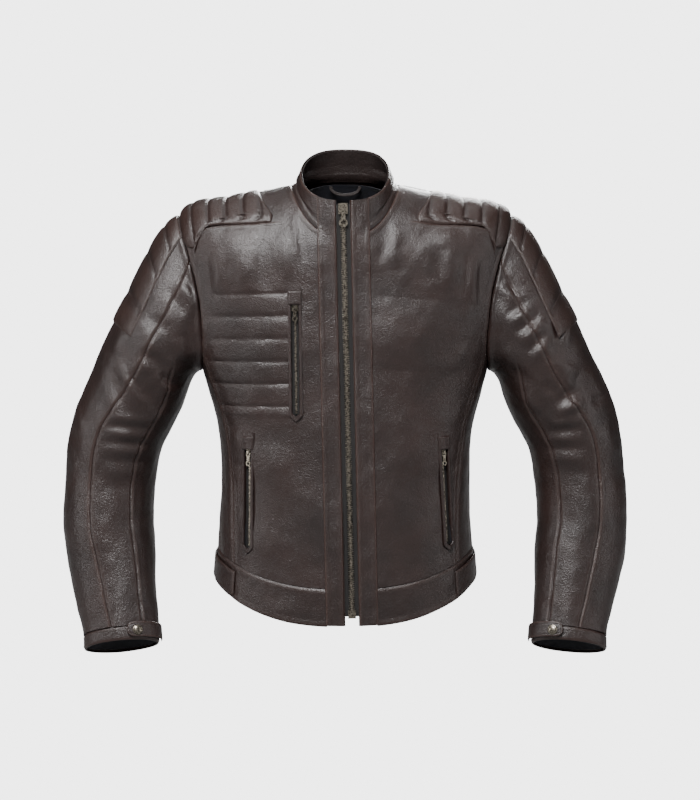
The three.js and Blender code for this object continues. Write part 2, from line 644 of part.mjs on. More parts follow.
for (const [name, side] of sides) {
  const placketEdge = (level) => side * angleBesideZip(side * placketOuter, level) + angleGap;
  const panel = onTorso(
    (i, j) => {
      const level = panelLevel(j);
      return [lerp(placketEdge(level), frontEdge(level) - angleGap, i), level];
    },
    7,
    panelRows.length - 1,
    { side },
  );
  const whole = solid(panel).add(neckStrip((level) => [placketEdge(level), 90 - angleGap], 7, side));
  const cut = windows[name].reduce((shell, window) => shell.subtract(window), whole);
  addPiece(`front_panel_${name}`, geometryOf(cut), materials.leather);

  const placket = onTorso(
    (i, j) => {
      const level = placketRows[Math.round(j * (placketRows.length - 1))];
      const angle = (d) => side * angleBesideZip(side * d, level);
      return [lerp(angle(placketInner), angle(placketOuter) - angleGap, i), level];
    },
    3,
    placketRows.length - 1,
    { side },
  );
  addPiece(`placket_${name}`, placket, materials.leather);

  const sidePanel = onTorso(
    (i, j) => {
      const foot = lerp(sideFrontHem, sideBackAngle, i);
      const head = lerp(sideFrontTop, sideBackAngle, i);
      const top = armholeLevel - armholeRise(head) - 3 * levelGap;
      const inset = (0.5 - i) * 2 * angleGap;
      return [lerp(foot, head, j) + inset, lerp(bandTopLevel + levelGap, top, j)];
    },
    6,
    7,
    { side },
  );
  addPiece(`side_panel_${name}`, sidePanel, materials.leather);

  const yoke = onTorso(
    (i, j) => {
      const rough = lerp(yokeEdgeArm, 180 - yokeEdgeArm, i);
      const arm = armholeLevel + armholeRise(rough) + levelGap;
      const level = lerp(arm, yokeNeckLevel - 2 * levelGap, j);
      const narrow = frontEdge(Math.max(level, yokeArmLevel)) + 2 * angleGap;
      return [lerp(narrow, 180 - narrow, i), level];
    },
    8,
    5,
    { side },
  );
  addPiece(`shoulder_yoke_${name}`, yoke, materials.leather);

  const band = onTorso(
    (i, j) => {
      const level = lerp(0, bandTopLevel - levelGap, j);
      const inner = side * angleBesideZip(side * placketOuter, level) + angleGap;
      return [lerp(inner, slotAngle - angleGap, i), level];
    },
    6,
    2,
    { side },
  );
  addPiece(`waistband_front_${name}`, band, materials.leather);

  const strap = onTorso(
    (i, j) => [lerp(slotAngle - 0.5, 122, i), lerp(0.1, 0.86, j)],
    9,
    2,
    { side, outer: layerGap + 0.6 + leatherThick, inner: layerGap + 0.6 },
  );
  addPiece(`waist_strap_${name}`, strap, materials.leatherTrim);
}

const backPanel = onTorso(
  (i, j) => {
    const level = panelLevel(j);
    const edge = backEdge(level) + angleGap;
    return [lerp(edge, 360 - edge, i), level];
  },
  12,
  panelRows.length - 1,
);
const backWhole = solid(backPanel).add(neckStrip(() => [90 + angleGap, 270 - angleGap], 12));
addPiece("back_panel", geometryOf(backWhole), materials.leather);

const backBand = onTorso((i, j) => [lerp(slotAngle + angleGap, 360 - slotAngle - angleGap, i), lerp(0, bandTopLevel - levelGap, j)], 20, 2);
addPiece("waistband_back", backBand, materials.leather);

// From one placket round the back to the other; the facing goes on under the plackets to the zip.
const neckColumns = 20;
const facingDepth = leatherThick + 1;
const collarLevel = (j) => lerp(neckLevel + levelGap, collarTopLevel, j);

function neckAngle(step, level) {
  const left = (distance) => angleBesideZip(distance, level);
  const right = (distance) => 360 + angleBesideZip(-distance, level);
  if (step < 0) return left(mainTapeHalf + 3);
  if (step > neckColumns) return right(mainTapeHalf + 3);
  return lerp(left(placketOuter) + angleGap, right(placketOuter) - angleGap, step / neckColumns);
}

const collar = onTorso(
  (i, j) => {
    const level = collarLevel(j);
    return [neckAngle(i * neckColumns, level), level];
  },
  neckColumns,
  3,
);
addPiece("collar", collar, materials.leather);

const collarFacing = onTorso(
  (i, j) => {
    const level = collarLevel(j);
    return [neckAngle(i * (neckColumns + 2) - 1, level), level];
  },
  neckColumns + 2,
  3,
  { outer: -facingDepth, inner: -facingDepth - liningThick },
);
addPiece("collar_lining", collarFacing, materials.leatherTrim);

// ---- sleeves --------------------------------------------------------------------------------------
// The seam between the front and the outer sleeve pieces, as its turn at each station.
const frontSeam = [30, 6, 10, 19, 20, 17, 14, 11, 9, 9].map((turn) => ({ turn }));
const frontSeamTurn = (station) => readTable(frontSeam, station).turn;
const underarmTurn = -108;
const turnGap = 0.35;
const stationGap = 0.012;
const sleeveInset = 0.02; // clear of the armhole's edge

// A sleeve piece on one side of the front seam, from there to the underarm seam.
function sleevePiece(inFront, fromStation, toStation, columns, rows, options) {
  const place = (i, j) => {
    const station = lerp(fromStation, toStation, j);
    const seam = frontSeamTurn(station);
    const [from, to] = inFront ? [underarmTurn, seam] : [seam, underarmTurn + 360];
    return [lerp(from + turnGap, to - turnGap, i), station];
  };
  return onSleeve(place, columns, rows, options);
}

// The quilted cap at the top of the sleeve: stations of its ends, turns of its edges.
const quiltTop = 0.06;
const quiltFoot = 1.04;
const quiltFront = [50, 28];
const quiltBack = 140;

const tabFree = -14; // turns of the cuff tab's free end and of its sewn end
const tabSewn = -104;
const tabHigh = 8.16;
const tabLow = 8.86;
const tabLift = 3; // over the cuff, for the snap between them
const tabThick = 2;
const snapTurn = -30;
const snapStation = (tabLow + tabHigh) / 2;
const snapRadius = 7.2;
const snapBarrel = 2;
const snapSocket = 4.6;
const snapStud = 3.4;
const metalGap = 0.3;

for (const [name, side] of sides) {
  const end = elbowUpperEnd - stationGap;
  const start = elbowLowerEnd + stationGap;
  const cuffTop = cuffSeamStation - stationGap;
  const top = sleeveInset;
  addPiece(
    `upper_sleeve_front_${name}`,
    sleevePiece(true, top, end, 5, 9, { side }),
    materials.leather,
  );
  addPiece(
    `upper_sleeve_outer_${name}`,
    sleevePiece(false, top, end, 11, 8, { side }),
    materials.leather,
  );
  addPiece(
    `elbow_${name}`,
    onSleeve((i, j) => [lerp(0, 360, i), lerp(elbowUpperEnd, elbowLowerEnd, j)], 18, 4, { side, wrapped: true }),
    materials.leather,
  );
  addPiece(
    `forearm_front_${name}`,
    sleevePiece(true, start, cuffTop, 6, 6, { side }),
    materials.leather,
  );
  addPiece(
    `forearm_outer_${name}`,
    sleevePiece(false, start, cuffTop, 11, 6, { side }),
    materials.leather,
  );
  addPiece(
    `cuff_${name}`,
    onSleeve((i, j) => [lerp(0, 360, i), lerp(cuffSeamStation, wristStation, j)], 20, 2, { side, wrapped: true }),
    materials.leather,
  );
  addPiece(
    `sleeve_quilt_${name}`,
    onSleeve(
      (i, j) => {
        const station = lerp(quiltTop, quiltFoot, j);
        return [lerp(lerp(...quiltFront, j), quiltBack, i), station];
      },
      8,
      5,
      { side, outer: layerGap + 4, inner: layerGap + 1.2 },
    ),
    materials.leather,
  );
  addCuffTab(name, side);
  const depthAt = (turn, station) =>
    -lerp(leatherThick + 1.5, liningDepth, smooth(Math.min(1, (wristStation - station) / 2)));
  addPiece(
    `sleeve_lining_${name}`,
    onSleeve((i, j) => [360 * i, lerp(0.3, wristStation - 0.15, j)], 14, 12, {
      side,
      wrapped: true,
      outer: depthAt,
      inner: (turn, station) => depthAt(turn, station) - liningThick,
    }),
    materials.lining,
  );
}

// A round metal piece on the cuff, from a profile of radius and height over the cuff's face.
function snapPart(side, profile) {
  const outward = sleeveNormal(snapTurn, snapStation);
  const turned = new THREE.LatheGeometry(
    profile.map(([r, h]) => new THREE.Vector2(r, h)),
    20,
  );
  turned.applyQuaternion(new THREE.Quaternion().setFromUnitVectors(new THREE.Vector3(0, 1, 0), outward));
  turned.translate(...sleeve(snapTurn, snapStation).toArray());
  if (side < 0) turned.scale(-1, 1, 1);
  const merged = mergeVertices(turned.deleteAttribute("normal").deleteAttribute("uv"), 1e-3);
  return facingOut(Array.from(merged.attributes.position.array), [...merged.index.array]);
}

// The tab is sewn in at the inner seam and snaps down on the cuff's front.
function addCuffTab(name, side) {
  const width = (turn) => {
    const end = Math.max(0, 1 - (tabFree - turn) / 13);
    return Math.sqrt(1 - 0.75 * end * end);
  };
  const strap = onSleeve(
    (i, j) => {
      const turn = lerp(tabSewn, tabFree, i);
      const half = ((tabLow - tabHigh) / 2) * width(turn);
      return [turn, lerp(snapStation - half, snapStation + half, j)];
    },
    10,
    2,
    { side, outer: tabLift + tabThick, inner: tabLift },
  );
  const over = tabLift + tabThick + metalGap;
  const under = tabLift - metalGap;
  const hole = snapPart(side, [
    [0, -1],
    [snapBarrel + metalGap, -1],
    [snapBarrel + metalGap, over + 3],
    [0, over + 3],
  ]);
  addPiece(`cuff_tab_${name}`, geometryOf(solid(strap).subtract(solid(hole))), materials.leatherTrim);
  const cap = snapPart(side, [
    [0, under - 1.1],
    [snapSocket, under - 1.1],
    [snapSocket, under],
    [snapBarrel, under],
    [snapBarrel, over + 0.5],
    [snapRadius, over + 0.5],
    [snapRadius, over + 1.3],
    [snapRadius - 1.4, over + 2.2],
    [0, over + 2.6],
  ]);
  addPiece(`snap_cap_${name}`, cap, materials.metal);
  const stud = snapPart(side, [
    [0, metalGap],
    [snapStud + 1.2, metalGap],
    [snapStud + 1.2, metalGap + 0.4],
    [snapStud, under - 1.1 - metalGap],
    [0, under - 1.1 - metalGap],
  ]);
  addPiece(`snap_stud_${name}`, stud, materials.metal);
}

// ---- lining and hanger loop -----------------------------------------------------------------------
const liningRows = rowsThrough([
  [0.3, 6],
  [armholeLevel + armholeReach, 5],
  [neckLevel - 0.05],
]);
const liningShell = onTorso(
  (i, j) => {
    const level = liningRows[Math.round(j * (liningRows.length - 1))];
    const left = angleBesideZip(mainTapeHalf + 3, level);
    const right = 360 + angleBesideZip(-mainTapeHalf - 3, level);
    return [lerp(left, right, i), level];
  },
  30,
  liningRows.length - 1,
  { outer: -liningDepth, inner: -liningDepth - liningThick },
);

// The lining is cut away behind each armhole.
function armholePlug(side) {
  const at = (i, j, k) => {
    const rim = armhole(360 * i);
    const heart = new THREE.Vector3(rim.x, 8, -142);
    const point = k === 0 ? rim.lerp(heart, 0.02) : rim.lerp(heart, 0.9);
    return new THREE.Vector3(side * lerp(120, 320, j), point.y, point.z);
  };
  const ring = solid(sheetBetween(at, 24, 1, true));
  return ring.hull();
}

let lining = solid(liningShell);
for (const [, side] of sides) lining = lining.subtract(armholePlug(side));
addPiece("body_lining", geometryOf(lining), materials.lining);

// A flat leather loop that hangs from the facing at the centre back.
const loopFace = raised(torso, torsoNormal, 180, loopLevel, -liningDepth - liningThick);
const loopOutline = new THREE.Shape();
const loopSteps = 10;
for (let i = 0; i <= loopSteps; i++) {
  const a = Math.PI + (Math.PI * i) / loopSteps;
  const point = [(loopWide / 2) * Math.cos(a), loopHang * Math.sin(a)];
  if (i === 0) loopOutline.moveTo(...point);
  else loopOutline.lineTo(...point);
}
for (let i = loopSteps; i >= 0; i--) {
  const a = Math.PI + (Math.PI * i) / loopSteps;
  loopOutline.lineTo((loopWide / 2 - loopBand) * Math.cos(a), (loopHang - loopBand) * Math.sin(a));
}
loopOutline.closePath();
const loop = new THREE.ExtrudeGeometry(loopOutline, { depth: loopThick, bevelEnabled: false });
loop.rotateX(Math.PI / 2);
addPiece("hanger_loop", loop, materials.leatherTrim).position.set(
  0,
  loopFace.y - loopGap,
  loopFace.z,
);

export default jacket;
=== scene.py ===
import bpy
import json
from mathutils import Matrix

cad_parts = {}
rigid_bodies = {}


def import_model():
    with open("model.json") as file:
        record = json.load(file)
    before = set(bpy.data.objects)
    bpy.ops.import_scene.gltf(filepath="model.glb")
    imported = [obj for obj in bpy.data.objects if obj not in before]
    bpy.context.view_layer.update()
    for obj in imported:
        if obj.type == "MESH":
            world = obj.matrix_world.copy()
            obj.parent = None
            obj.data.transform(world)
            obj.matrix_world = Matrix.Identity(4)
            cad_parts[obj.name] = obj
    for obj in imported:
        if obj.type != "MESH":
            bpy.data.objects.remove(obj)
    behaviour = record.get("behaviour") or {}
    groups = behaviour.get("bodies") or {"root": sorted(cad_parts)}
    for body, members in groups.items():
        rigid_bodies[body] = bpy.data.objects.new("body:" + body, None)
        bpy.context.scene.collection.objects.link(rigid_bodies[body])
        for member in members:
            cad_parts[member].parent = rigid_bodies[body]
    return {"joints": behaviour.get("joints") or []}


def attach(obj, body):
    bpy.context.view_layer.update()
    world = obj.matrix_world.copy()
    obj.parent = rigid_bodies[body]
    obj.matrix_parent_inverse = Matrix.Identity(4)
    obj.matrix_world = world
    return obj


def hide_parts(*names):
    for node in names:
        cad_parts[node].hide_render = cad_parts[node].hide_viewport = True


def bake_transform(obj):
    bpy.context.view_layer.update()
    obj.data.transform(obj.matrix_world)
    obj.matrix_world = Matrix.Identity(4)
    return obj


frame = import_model()

import json

import bpy
import numpy as np
from mathutils import Vector

bl_info = {
    "name": "Leather riding jacket",
    "version": (1, 0, 0),
    "blender": (4, 5, 0),
    "location": "View3D > Sidebar > Jacket",
    "description": "Builds the leather, linings, zips and stitching of a riding jacket on its frame",
    "category": "Object",
}

MM = 0.001  # the forms below are in millimetres

# ---- the jacket's form, as the frame has it ------------------------------------------------

LEATHER = 1.6  # thickness of the shell leather
ZIP_TOP = np.array([-3.0, -95.0, -17.0])
ZIP_FOOT = np.array([10.0, -135.0, -596.0])
PLACKET_INNER, PLACKET_OUTER = 9.5, 37.0
ARMHOLE_LEVEL, ARMHOLE_SPREAD = 5.0, 33.0
YOKE_NECK_LEVEL, YOKE_EDGE_NECK, YOKE_EDGE_ARM, YOKE_EDGE_BOW = 7.4, 44.0, 66.0, 0.6
SIDE_FRONT_TOP, SIDE_FRONT_HEM, SIDE_BACK = 68.0, 56.0, 112.0
NECK_LEVEL, COLLAR_TOP = 8.0, 10.0
UNDER_COLLAR = 7.99  # top level of the pieces that are sewn in under the collar
CUFF_SEAM, WRIST = 8.3, 9.0
UNDERARM = -108.0
HEAD_WAY, HEAD_PULL = np.array([0.87, 0.0, -0.5]), 0.33  # how the sleeve's head leaves the armhole
UNDERARM_HOLD = 0.4  # how soon, towards the underarm, the head runs straight to the first ellipse

# Levels of the torso from the hem to the collar's top: half-width, side y, side z, front z, back y,
# back z, squareness of the ring, dip of its edge from the side to the front.
LEVELS = np.array([
    [189, 2, -560, -608, 112, -572, 2.5, 2],
    [185, 2, -512, -554, 108, -522, 2.5, 2],
    [180, 2, -430, -450, 104, -435, 2.5, 2],
    [184, 4, -342, -348, 116, -342, 2.5, 2],
    [206, 8, -258, -258, 128, -258, 2.5, 2],
    [238, 12, -150, -168, 129, -155, 2.5, 2],
    [237, 12, -35, -114, 113, -82, 2.4, 2],
    [158, 9, -9, -86, 88, -28, 2.5, 1.9],
    [76, 2, 8, -62, 62, 16, 2.7, 1.8],
    [69, -4, 19, -37, 55, 38, 2.7, 1.2],
    [63, -13, 29, -12, 48, 60, 2.7, 0.9],
], float)

# Stations of the left sleeve from the armhole to the wrist: centre x, y, z, half-width, half-depth
# and how far the front edge is cut back.
STATIONS = np.array([
    [214, 8, -145, 100, 76, 0],
    [272, 6, -222, 71, 78, 0],
    [301, 8, -285, 70, 74, 0],
    [331, 10, -350, 68, 70, 0],
    [342, 9, -415, 65, 67, 0],
    [345, -3, -475, 65.5, 64, 0],
    [339, -20, -528, 64.5, 58, 0],
    [331, -42, -580, 58, 49, 0],
    [323, -61, -621, 54, 40, 1],
    [320, -73, -649, 54, 36, 2],
], float)


def smooth(t):
    """A cubic step: 0 below 0, 1 above 1."""
    t = np.clip(t, 0, 1)
    return t * t * (3 - 2 * t)


def lerp(a, b, t):
    """The place t of the way from a to b."""
    return a + (b - a) * t


def unit(v):
    """Vectors scaled to a length of 1."""
    return v / np.maximum(np.linalg.norm(v, axis=-1, keepdims=True), 1e-9)


def bell(x, width):
    """A bell curve: 1 at 0, falling to a third at its width on either side."""
    return np.exp(-((x / width) ** 2))


def read_table(table, at):
    """Reads rows between its entries by a Catmull-Rom curve, for an array of places."""
    at = np.asarray(at, float)
    last = len(table) - 1
    i = np.clip(np.floor(at).astype(int), 0, last - 1)
    t = (at - i)[..., None]
    p0, p1 = table[np.clip(i - 1, 0, last)], table[i]
    p2, p3 = table[i + 1], table[np.clip(i + 2, 0, last)]
    m1 = np.where((i == 0)[..., None], p2 - p1, (p2 - p0) / 2)
    m2 = np.where((i == last - 1)[..., None], p2 - p1, (p3 - p1) / 2)
    t2, t3 = t * t, t * t * t
    return (2 * t3 - 3 * t2 + 1) * p1 + (t3 - 2 * t2 + t) * m1 + (3 * t2 - 2 * t3) * p2 + (t3 - t2) * m2


def zip_at(z):
    """The straight line of the main zip, at heights z."""
    t = (ZIP_TOP[2] - np.asarray(z, float)) / (ZIP_TOP[2] - ZIP_FOOT[2])
    return ZIP_TOP + (ZIP_FOOT - ZIP_TOP) * t[..., None]


def power(x, p):
    """A power that keeps its number's sign."""
    return np.sign(x) * np.abs(x) ** p


def torso(angle, level):
    """The torso: at each level a superellipse ring, whose front depth follows the zip's line and
    whose edge falls from the side to the front and back by a power of the cosine."""
    angle, level = np.broadcast_arrays(np.asarray(angle, float), np.asarray(level, float))
    half, side_y, side_z, front_z, back_y, back_z, square, dip = np.moveaxis(read_table(LEVELS, level), -1, 0)
    s, c = np.sin(np.radians(angle)), np.cos(np.radians(angle))
    end_y = np.where(c >= 0, zip_at(front_z)[..., 1], back_y)
    end_z = np.where(c >= 0, front_z, back_z)
    return np.stack([
        half * power(s, 2 / square),
        side_y + (end_y - side_y) * np.abs(c) ** (2 / square),
        side_z + (end_z - side_z) * np.abs(c) ** dip,
    ], -1)


def beside_zip(distance, level):
    """The torso angle at a distance to the wearer's left of the main zip."""
    half, _, _, front_z, _, _, square, _ = np.moveaxis(read_table(LEVELS, level), -1, 0)
    return np.degrees(np.arcsin(power((zip_at(front_z)[..., 0] + distance) / half, square / 2)))


def beside(side, distance, level):
    """The torso angle, counted away from the zip on either side, at a distance out from it."""
    return side * beside_zip(side * distance, level)


def armhole_level(angle, way):
    """Level at which the armhole passes a torso angle, in its lower half (way -1) or upper (1)."""
    return ARMHOLE_LEVEL + way * np.sqrt(np.clip(1 - ((90 - angle) / ARMHOLE_SPREAD) ** 2, 0, None))


ARMHOLE_FOOT = armhole_level(SIDE_FRONT_TOP, -1)  # where the side seam meets the armhole
YOKE_ARM = armhole_level(YOKE_EDGE_ARM, 1)  # where the yoke seam meets it


def armhole(turn):
    """The armhole: a circle of the torso's angle and level, turn 0 at its front, 90 at the shoulder."""
    a = np.radians(turn)
    return torso(90 - ARMHOLE_SPREAD * np.cos(a), ARMHOLE_LEVEL + np.sin(a))


def sleeve_axes(station):
    """Centre line of the left sleeve and its directions along, to the front and outwards."""
    ahead, behind = read_table(STATIONS, station + 0.02), read_table(STATIONS, station - 0.02)
    along = unit(ahead[..., :3] - behind[..., :3])
    front = unit(np.array([0.0, -1.0, 0.0]) + along * along[..., 1:2])
    return read_table(STATIONS, station)[..., :3], along, front, np.cross(front, along)


def sleeve(turn, station):
    """The left sleeve: ellipses across its centre line, and before station 1 a Bezier sheet that
    leaves the armhole square to the torso and runs into the first ellipse."""
    turn, station = np.broadcast_arrays(np.asarray(turn, float), np.asarray(station, float))
    s, c = np.sin(np.radians(turn))[..., None], np.cos(np.radians(turn))[..., None]
    under = smooth(-s[..., 0] / UNDERARM_HOLD)
    held = np.where(station < 1, lerp(station, 1.0, under), station)
    form = read_table(STATIONS, held)
    centre, along, front, out = sleeve_axes(held)
    ring = centre + out * form[..., 3:4] * s + front * form[..., 4:5] * c - along * form[..., 5:6] * c
    start = armhole(turn)
    handle = np.linalg.norm(start - ring, axis=-1, keepdims=True) * HEAD_PULL
    leaving = start + HEAD_WAY * handle
    arriving = ring - along * handle
    t = np.clip(station, 0, 1)[..., None]
    head = ((1 - t) ** 3 * start + 3 * (1 - t) ** 2 * t * leaving
            + 3 * (1 - t) * t * t * arriving + t ** 3 * ring)
    return np.where(station[..., None] < 1, head, ring)


def square_to(surface, u, v):
    """Unit vector square to a surface, from short steps each way along both its coordinates."""
    along_u = surface(u + 0.4, v) - surface(u - 0.4, v)
    along_v = surface(u, v + 0.01) - surface(u, v - 0.01)
    return unit(np.cross(along_u, along_v))


def torso_out(angle, level):
    """Outward from the torso's face."""
    return square_to(torso, angle, level)


def sleeve_out(turn, station):
    """Outward from the centre line near the armhole, and square to the sleeve beyond it."""
    spoke = unit(sleeve(turn, station) - sleeve_axes(np.asarray(station, float))[0])
    square = -square_to(sleeve, turn, station)
    return unit(lerp(spoke, square, smooth((np.asarray(station, float) - 0.8) / 0.8)[..., None]))


def front_edge(level):
    """Torso angle of the front panel's outer edge: side seam, then armhole, then yoke seam."""
    side = lerp(SIDE_FRONT_HEM, SIDE_FRONT_TOP, (level - 1) / (ARMHOLE_FOOT - 1))
    hole = 90 - ARMHOLE_SPREAD * np.sqrt(np.clip(1 - (level - ARMHOLE_LEVEL) ** 2, 0, None))
    along = np.clip((level - YOKE_ARM) / (YOKE_NECK_LEVEL - YOKE_ARM), 0, 1)
    yoke = lerp(YOKE_EDGE_ARM, YOKE_EDGE_NECK, along ** YOKE_EDGE_BOW)
    return np.where(level <= ARMHOLE_FOOT, side, np.where(level <= YOKE_ARM, hole, yoke))


# ---- folds and undulations of the leather ----------------------------------------------------

# Soft folds that hang in the leather: from x, z to x, z, half-width and height (less than 0 is a
# hollow), on the fronts in the jacket's own millimetres.
CHEST_FOLDS = [
    (-178, -82, -176, -150, 8, 2.0), (-197, -84, -194, -185, 6, -2.4), (-140, -78, -136, -150, 13, 2.2),
    (-115, -66, -108, -140, 8, -2.2), (-84, -50, -80, -128, 9, 1.6), (-62, -38, -56, -100, 5, -1.6),
    (-72, -30, -66, -92, 4, 1.5), (58, -40, 50, -100, 5, -1.4), (72, -42, 66, -110, 7, 1.4),
    (132, -74, 128, -128, 8, -1.8), (150, -82, 146, -140, 9, 1.8), (168, -84, 166, -150, 5, -2.0),
    (181, -88, 180, -160, 7, 2.0), (194, -92, 190, -175, 4, -2.0), (95, -150, 85, -250, 40, 3.5),
    (188, -250, 90, -318, 16, -2.6), (180, -225, 110, -262, 15, 2.0), (-120, -180, -118, -290, 34, 1.5),
    (-170, -330, -60, -350, 16, -1.6), (-165, -372, -70, -384, 20, 1.4), (160, -360, 60, -372, 20, 1.4),
    (165, -420, 70, -410, 18, -1.4), (-160, -440, -60, -432, 22, -1.4), (60, -480, 150, -470, 20, 1.2),
    (-150, -488, -50, -500, 16, 1.2), (-130, -580, -40, -590, 10, 0.8),
]
# The sleeves' folds, on the side that faces the front, x counted outwards for either sleeve.
SLEEVE_FOLDS = {
    "right": [
        (236, -126, 208, -166, 7, 3.5), (250, -138, 226, -176, 6, -2.5), (222, -128, 205, -146, 5, -2.0),
        (300, -166, 286, -208, 10, 2.5), (316, -186, 326, -232, 9, 3.0), (306, -206, 312, -250, 6, -3.0),
        (284, -196, 270, -232, 9, 3.0), (276, -176, 250, -196, 7, -2.2), (296, -236, 262, -268, 8, 3.2),
        (288, -224, 250, -252, 6, -2.6), (322, -238, 290, -304, 7, 3.4), (312, -246, 282, -296, 5, -3.2),
        (334, -252, 306, -318, 6, -2.4), (346, -262, 322, -330, 7, 2.4), (238, -206, 226, -240, 8, 3.0),
        (228, -200, 218, -226, 5, -2.4), (272, -258, 248, -292, 7, 3.6), (262, -256, 240, -282, 5, -3.0),
        (284, -278, 258, -318, 6, -2.6), (250, -232, 236, -262, 6, 2.2), (340, -318, 272, -326, 5, 2.0),
        (344, -330, 276, -338, 4, -1.8), (346, -341, 276, -350, 5, 2.2), (348, -354, 276, -362, 4, -1.8),
        (350, -366, 278, -374, 5, 1.8), (352, -380, 280, -388, 5, -1.4), (350, -396, 284, -404, 7, 1.3),
        (352, -420, 290, -424, 9, -1.2), (392, -300, 372, -352, 7, 2.0), (398, -330, 382, -392, 7, -2.0),
        (300, -470, 306, -560, 12, 1.2), (352, -500, 346, -600, 12, -1.2), (324, -560, 322, -622, 8, 0.9),
        (288, -590, 286, -628, 5, 1.2),
    ],
    "left": [
        (214, -128, 238, -156, 7, 3.0), (222, -120, 250, -146, 5, -2.2), (230, -190, 268, -162, 6, 3.2),
        (226, -176, 258, -152, 5, -2.8), (246, -214, 284, -182, 7, 3.4), (240, -202, 276, -172, 5, -2.8),
        (262, -240, 296, -206, 7, 3.0), (256, -228, 290, -194, 5, -2.6), (306, -176, 294, -226, 8, -4.5),
        (318, -176, 312, -222, 7, 3.0), (292, -236, 330, -262, 8, 3.4), (300, -250, 326, -282, 6, 2.6),
        (292, -302, 336, -276, 7, -4.2), (300, -316, 342, -296, 7, 3.8), (280, -268, 300, -290, 6, -2.4),
        (348, -250, 366, -292, 8, 2.0), (352, -300, 372, -296, 6, -2.0), (290, -330, 346, -322, 5, 2.4),
        (288, -342, 348, -336, 4, -2.0), (286, -354, 348, -350, 5, 2.2), (286, -368, 348, -364, 4, -1.8),
        (288, -382, 348, -380, 6, 1.8), (292, -402, 350, -398, 7, -1.3), (228, -220, 262, -252, 9, 2.2),
        (240, -250, 270, -282, 8, -2.0), (218, -222, 240, -252, 7, 1.6), (256, -286, 276, -316, 6, 2.0),
        (372, -330, 386, -392, 9, 1.8), (386, -372, 396, -430, 7, -1.6), (300, -450, 300, -560, 12, 1.2),
        (344, -480, 340, -600, 12, -1.0), (318, -560, 316, -620, 8, 0.9), (284, -590, 280, -626, 5, 1.2),
    ],
}


FOLD_SPREAD = 1.2  # widens every fold, so that none is sharper than the leather can bend
BODY_FOLDS, ARM_FOLDS = 1.3, 0.95  # share of a fold's height: the body hangs looser than the sleeves
NARROW_SHARE = 0.26  # height of the narrow waves beside the broad ones


def fold_relief(points, folds, outwards=1):
    """Sum of ridges: each has a Gaussian profile across its line and a half-sine along it. The lines
    lie in the front plane."""
    x, z = points[..., 0] * outwards, points[..., 2]
    total = np.zeros_like(x)
    for x0, z0, x1, z1, width, height in folds:
        dx, dz = x1 - x0, z1 - z0
        long = np.hypot(dx, dz)
        t = ((x - x0) * dx + (z - z0) * dz) / long ** 2
        across = ((x - x0) * dz - (z - z0) * dx) / long
        total += height * bell(across, width * FOLD_SPREAD) * np.sin(np.pi * np.clip(t, 0, 1)) ** 0.8
    return total


rng = np.random.default_rng(7)


def waves(count, shortest, longest):
    """Directions and phases of a few plane waves, for an undulation without a pattern."""
    length = rng.uniform(shortest, longest, count)
    return unit(rng.normal(size=(count, 3))) * (2 * np.pi / length)[:, None], rng.uniform(0, 6.28, count)


BROAD, NARROW = waves(9, 55, 130), waves(12, 16, 34)


def undulation(points, set_of_waves):
    """Sum of the sines of a set of plane waves, evened out by the root of their number."""
    k, phase = set_of_waves
    return np.sin(points @ k.T + phase).sum(-1) / np.sqrt(len(phase))


def hanging(points, folds, outwards, front):
    """Relief of a leather panel: its folds where it faces the front, and slight waves all over."""
    drape = undulation(points, BROAD) + undulation(points, NARROW) * NARROW_SHARE
    share = BODY_FOLDS if folds is CHEST_FOLDS else ARM_FOLDS
    return fold_relief(points, folds, outwards) * front * share + drape


# ---- meshes ----------------------------------------------------------------------------------


def add_mesh(name, vertices, faces, material, rub=None, sharp=40):
    """A mesh from arrays in millimetres, smooth but for edges sharper than an angle in degrees."""
    name = f"{name}_made"
    mesh = bpy.data.meshes.new(name)
    vertices = np.ascontiguousarray(vertices, dtype=np.float32) * MM
    loops = np.ascontiguousarray(faces, dtype=np.int32)
    mesh.vertices.add(len(vertices))
    mesh.vertices.foreach_set("co", vertices.ravel())
    mesh.loops.add(loops.size)
    mesh.loops.foreach_set("vertex_index", loops.ravel())
    mesh.polygons.add(len(loops))
    mesh.polygons.foreach_set("loop_start", np.arange(0, loops.size, loops.shape[1], dtype=np.int32))
    mesh.polygons.foreach_set("use_smooth", np.ones(len(loops), bool))
    mesh.update(calc_edges=True)
    mesh.validate()
    mesh.set_sharp_from_angle(angle=np.radians(sharp))
    if rub is not None:
        attribute = mesh.attributes.new("rub", "FLOAT", "POINT")
        attribute.data.foreach_set("value", np.ascontiguousarray(rub, dtype=np.float32))
    mesh.materials.append(material)
    piece = bpy.data.objects.new(name, mesh)
    bpy.context.scene.collection.objects.link(piece)
    return piece


def volume(vertices, faces):
    """Six times the volume that quads enclose: below 0 they face inwards."""
    a, b, c, d = (vertices[faces[:, k]] for k in range(4))
    return (a * np.cross(b, c)).sum() + (a * np.cross(c, d)).sum()


def grid_faces(rows, columns, wrapped, start=0):
    """Quads of a grid of points, whose last column joins its first when it is wrapped."""
    i = np.arange(columns if wrapped else columns - 1)
    low = np.arange(rows - 1)[:, None] * columns
    right, high = (i + 1) % columns, low + columns
    return np.stack([low + i, low + right, high + right, high + i], -1).reshape(-1, 4) + start


def outwards_first(vertices, faces):
    """The mesh with its quads turned to face outwards."""
    return vertices, faces[:, ::-1] if volume(vertices, faces) < 0 else faces


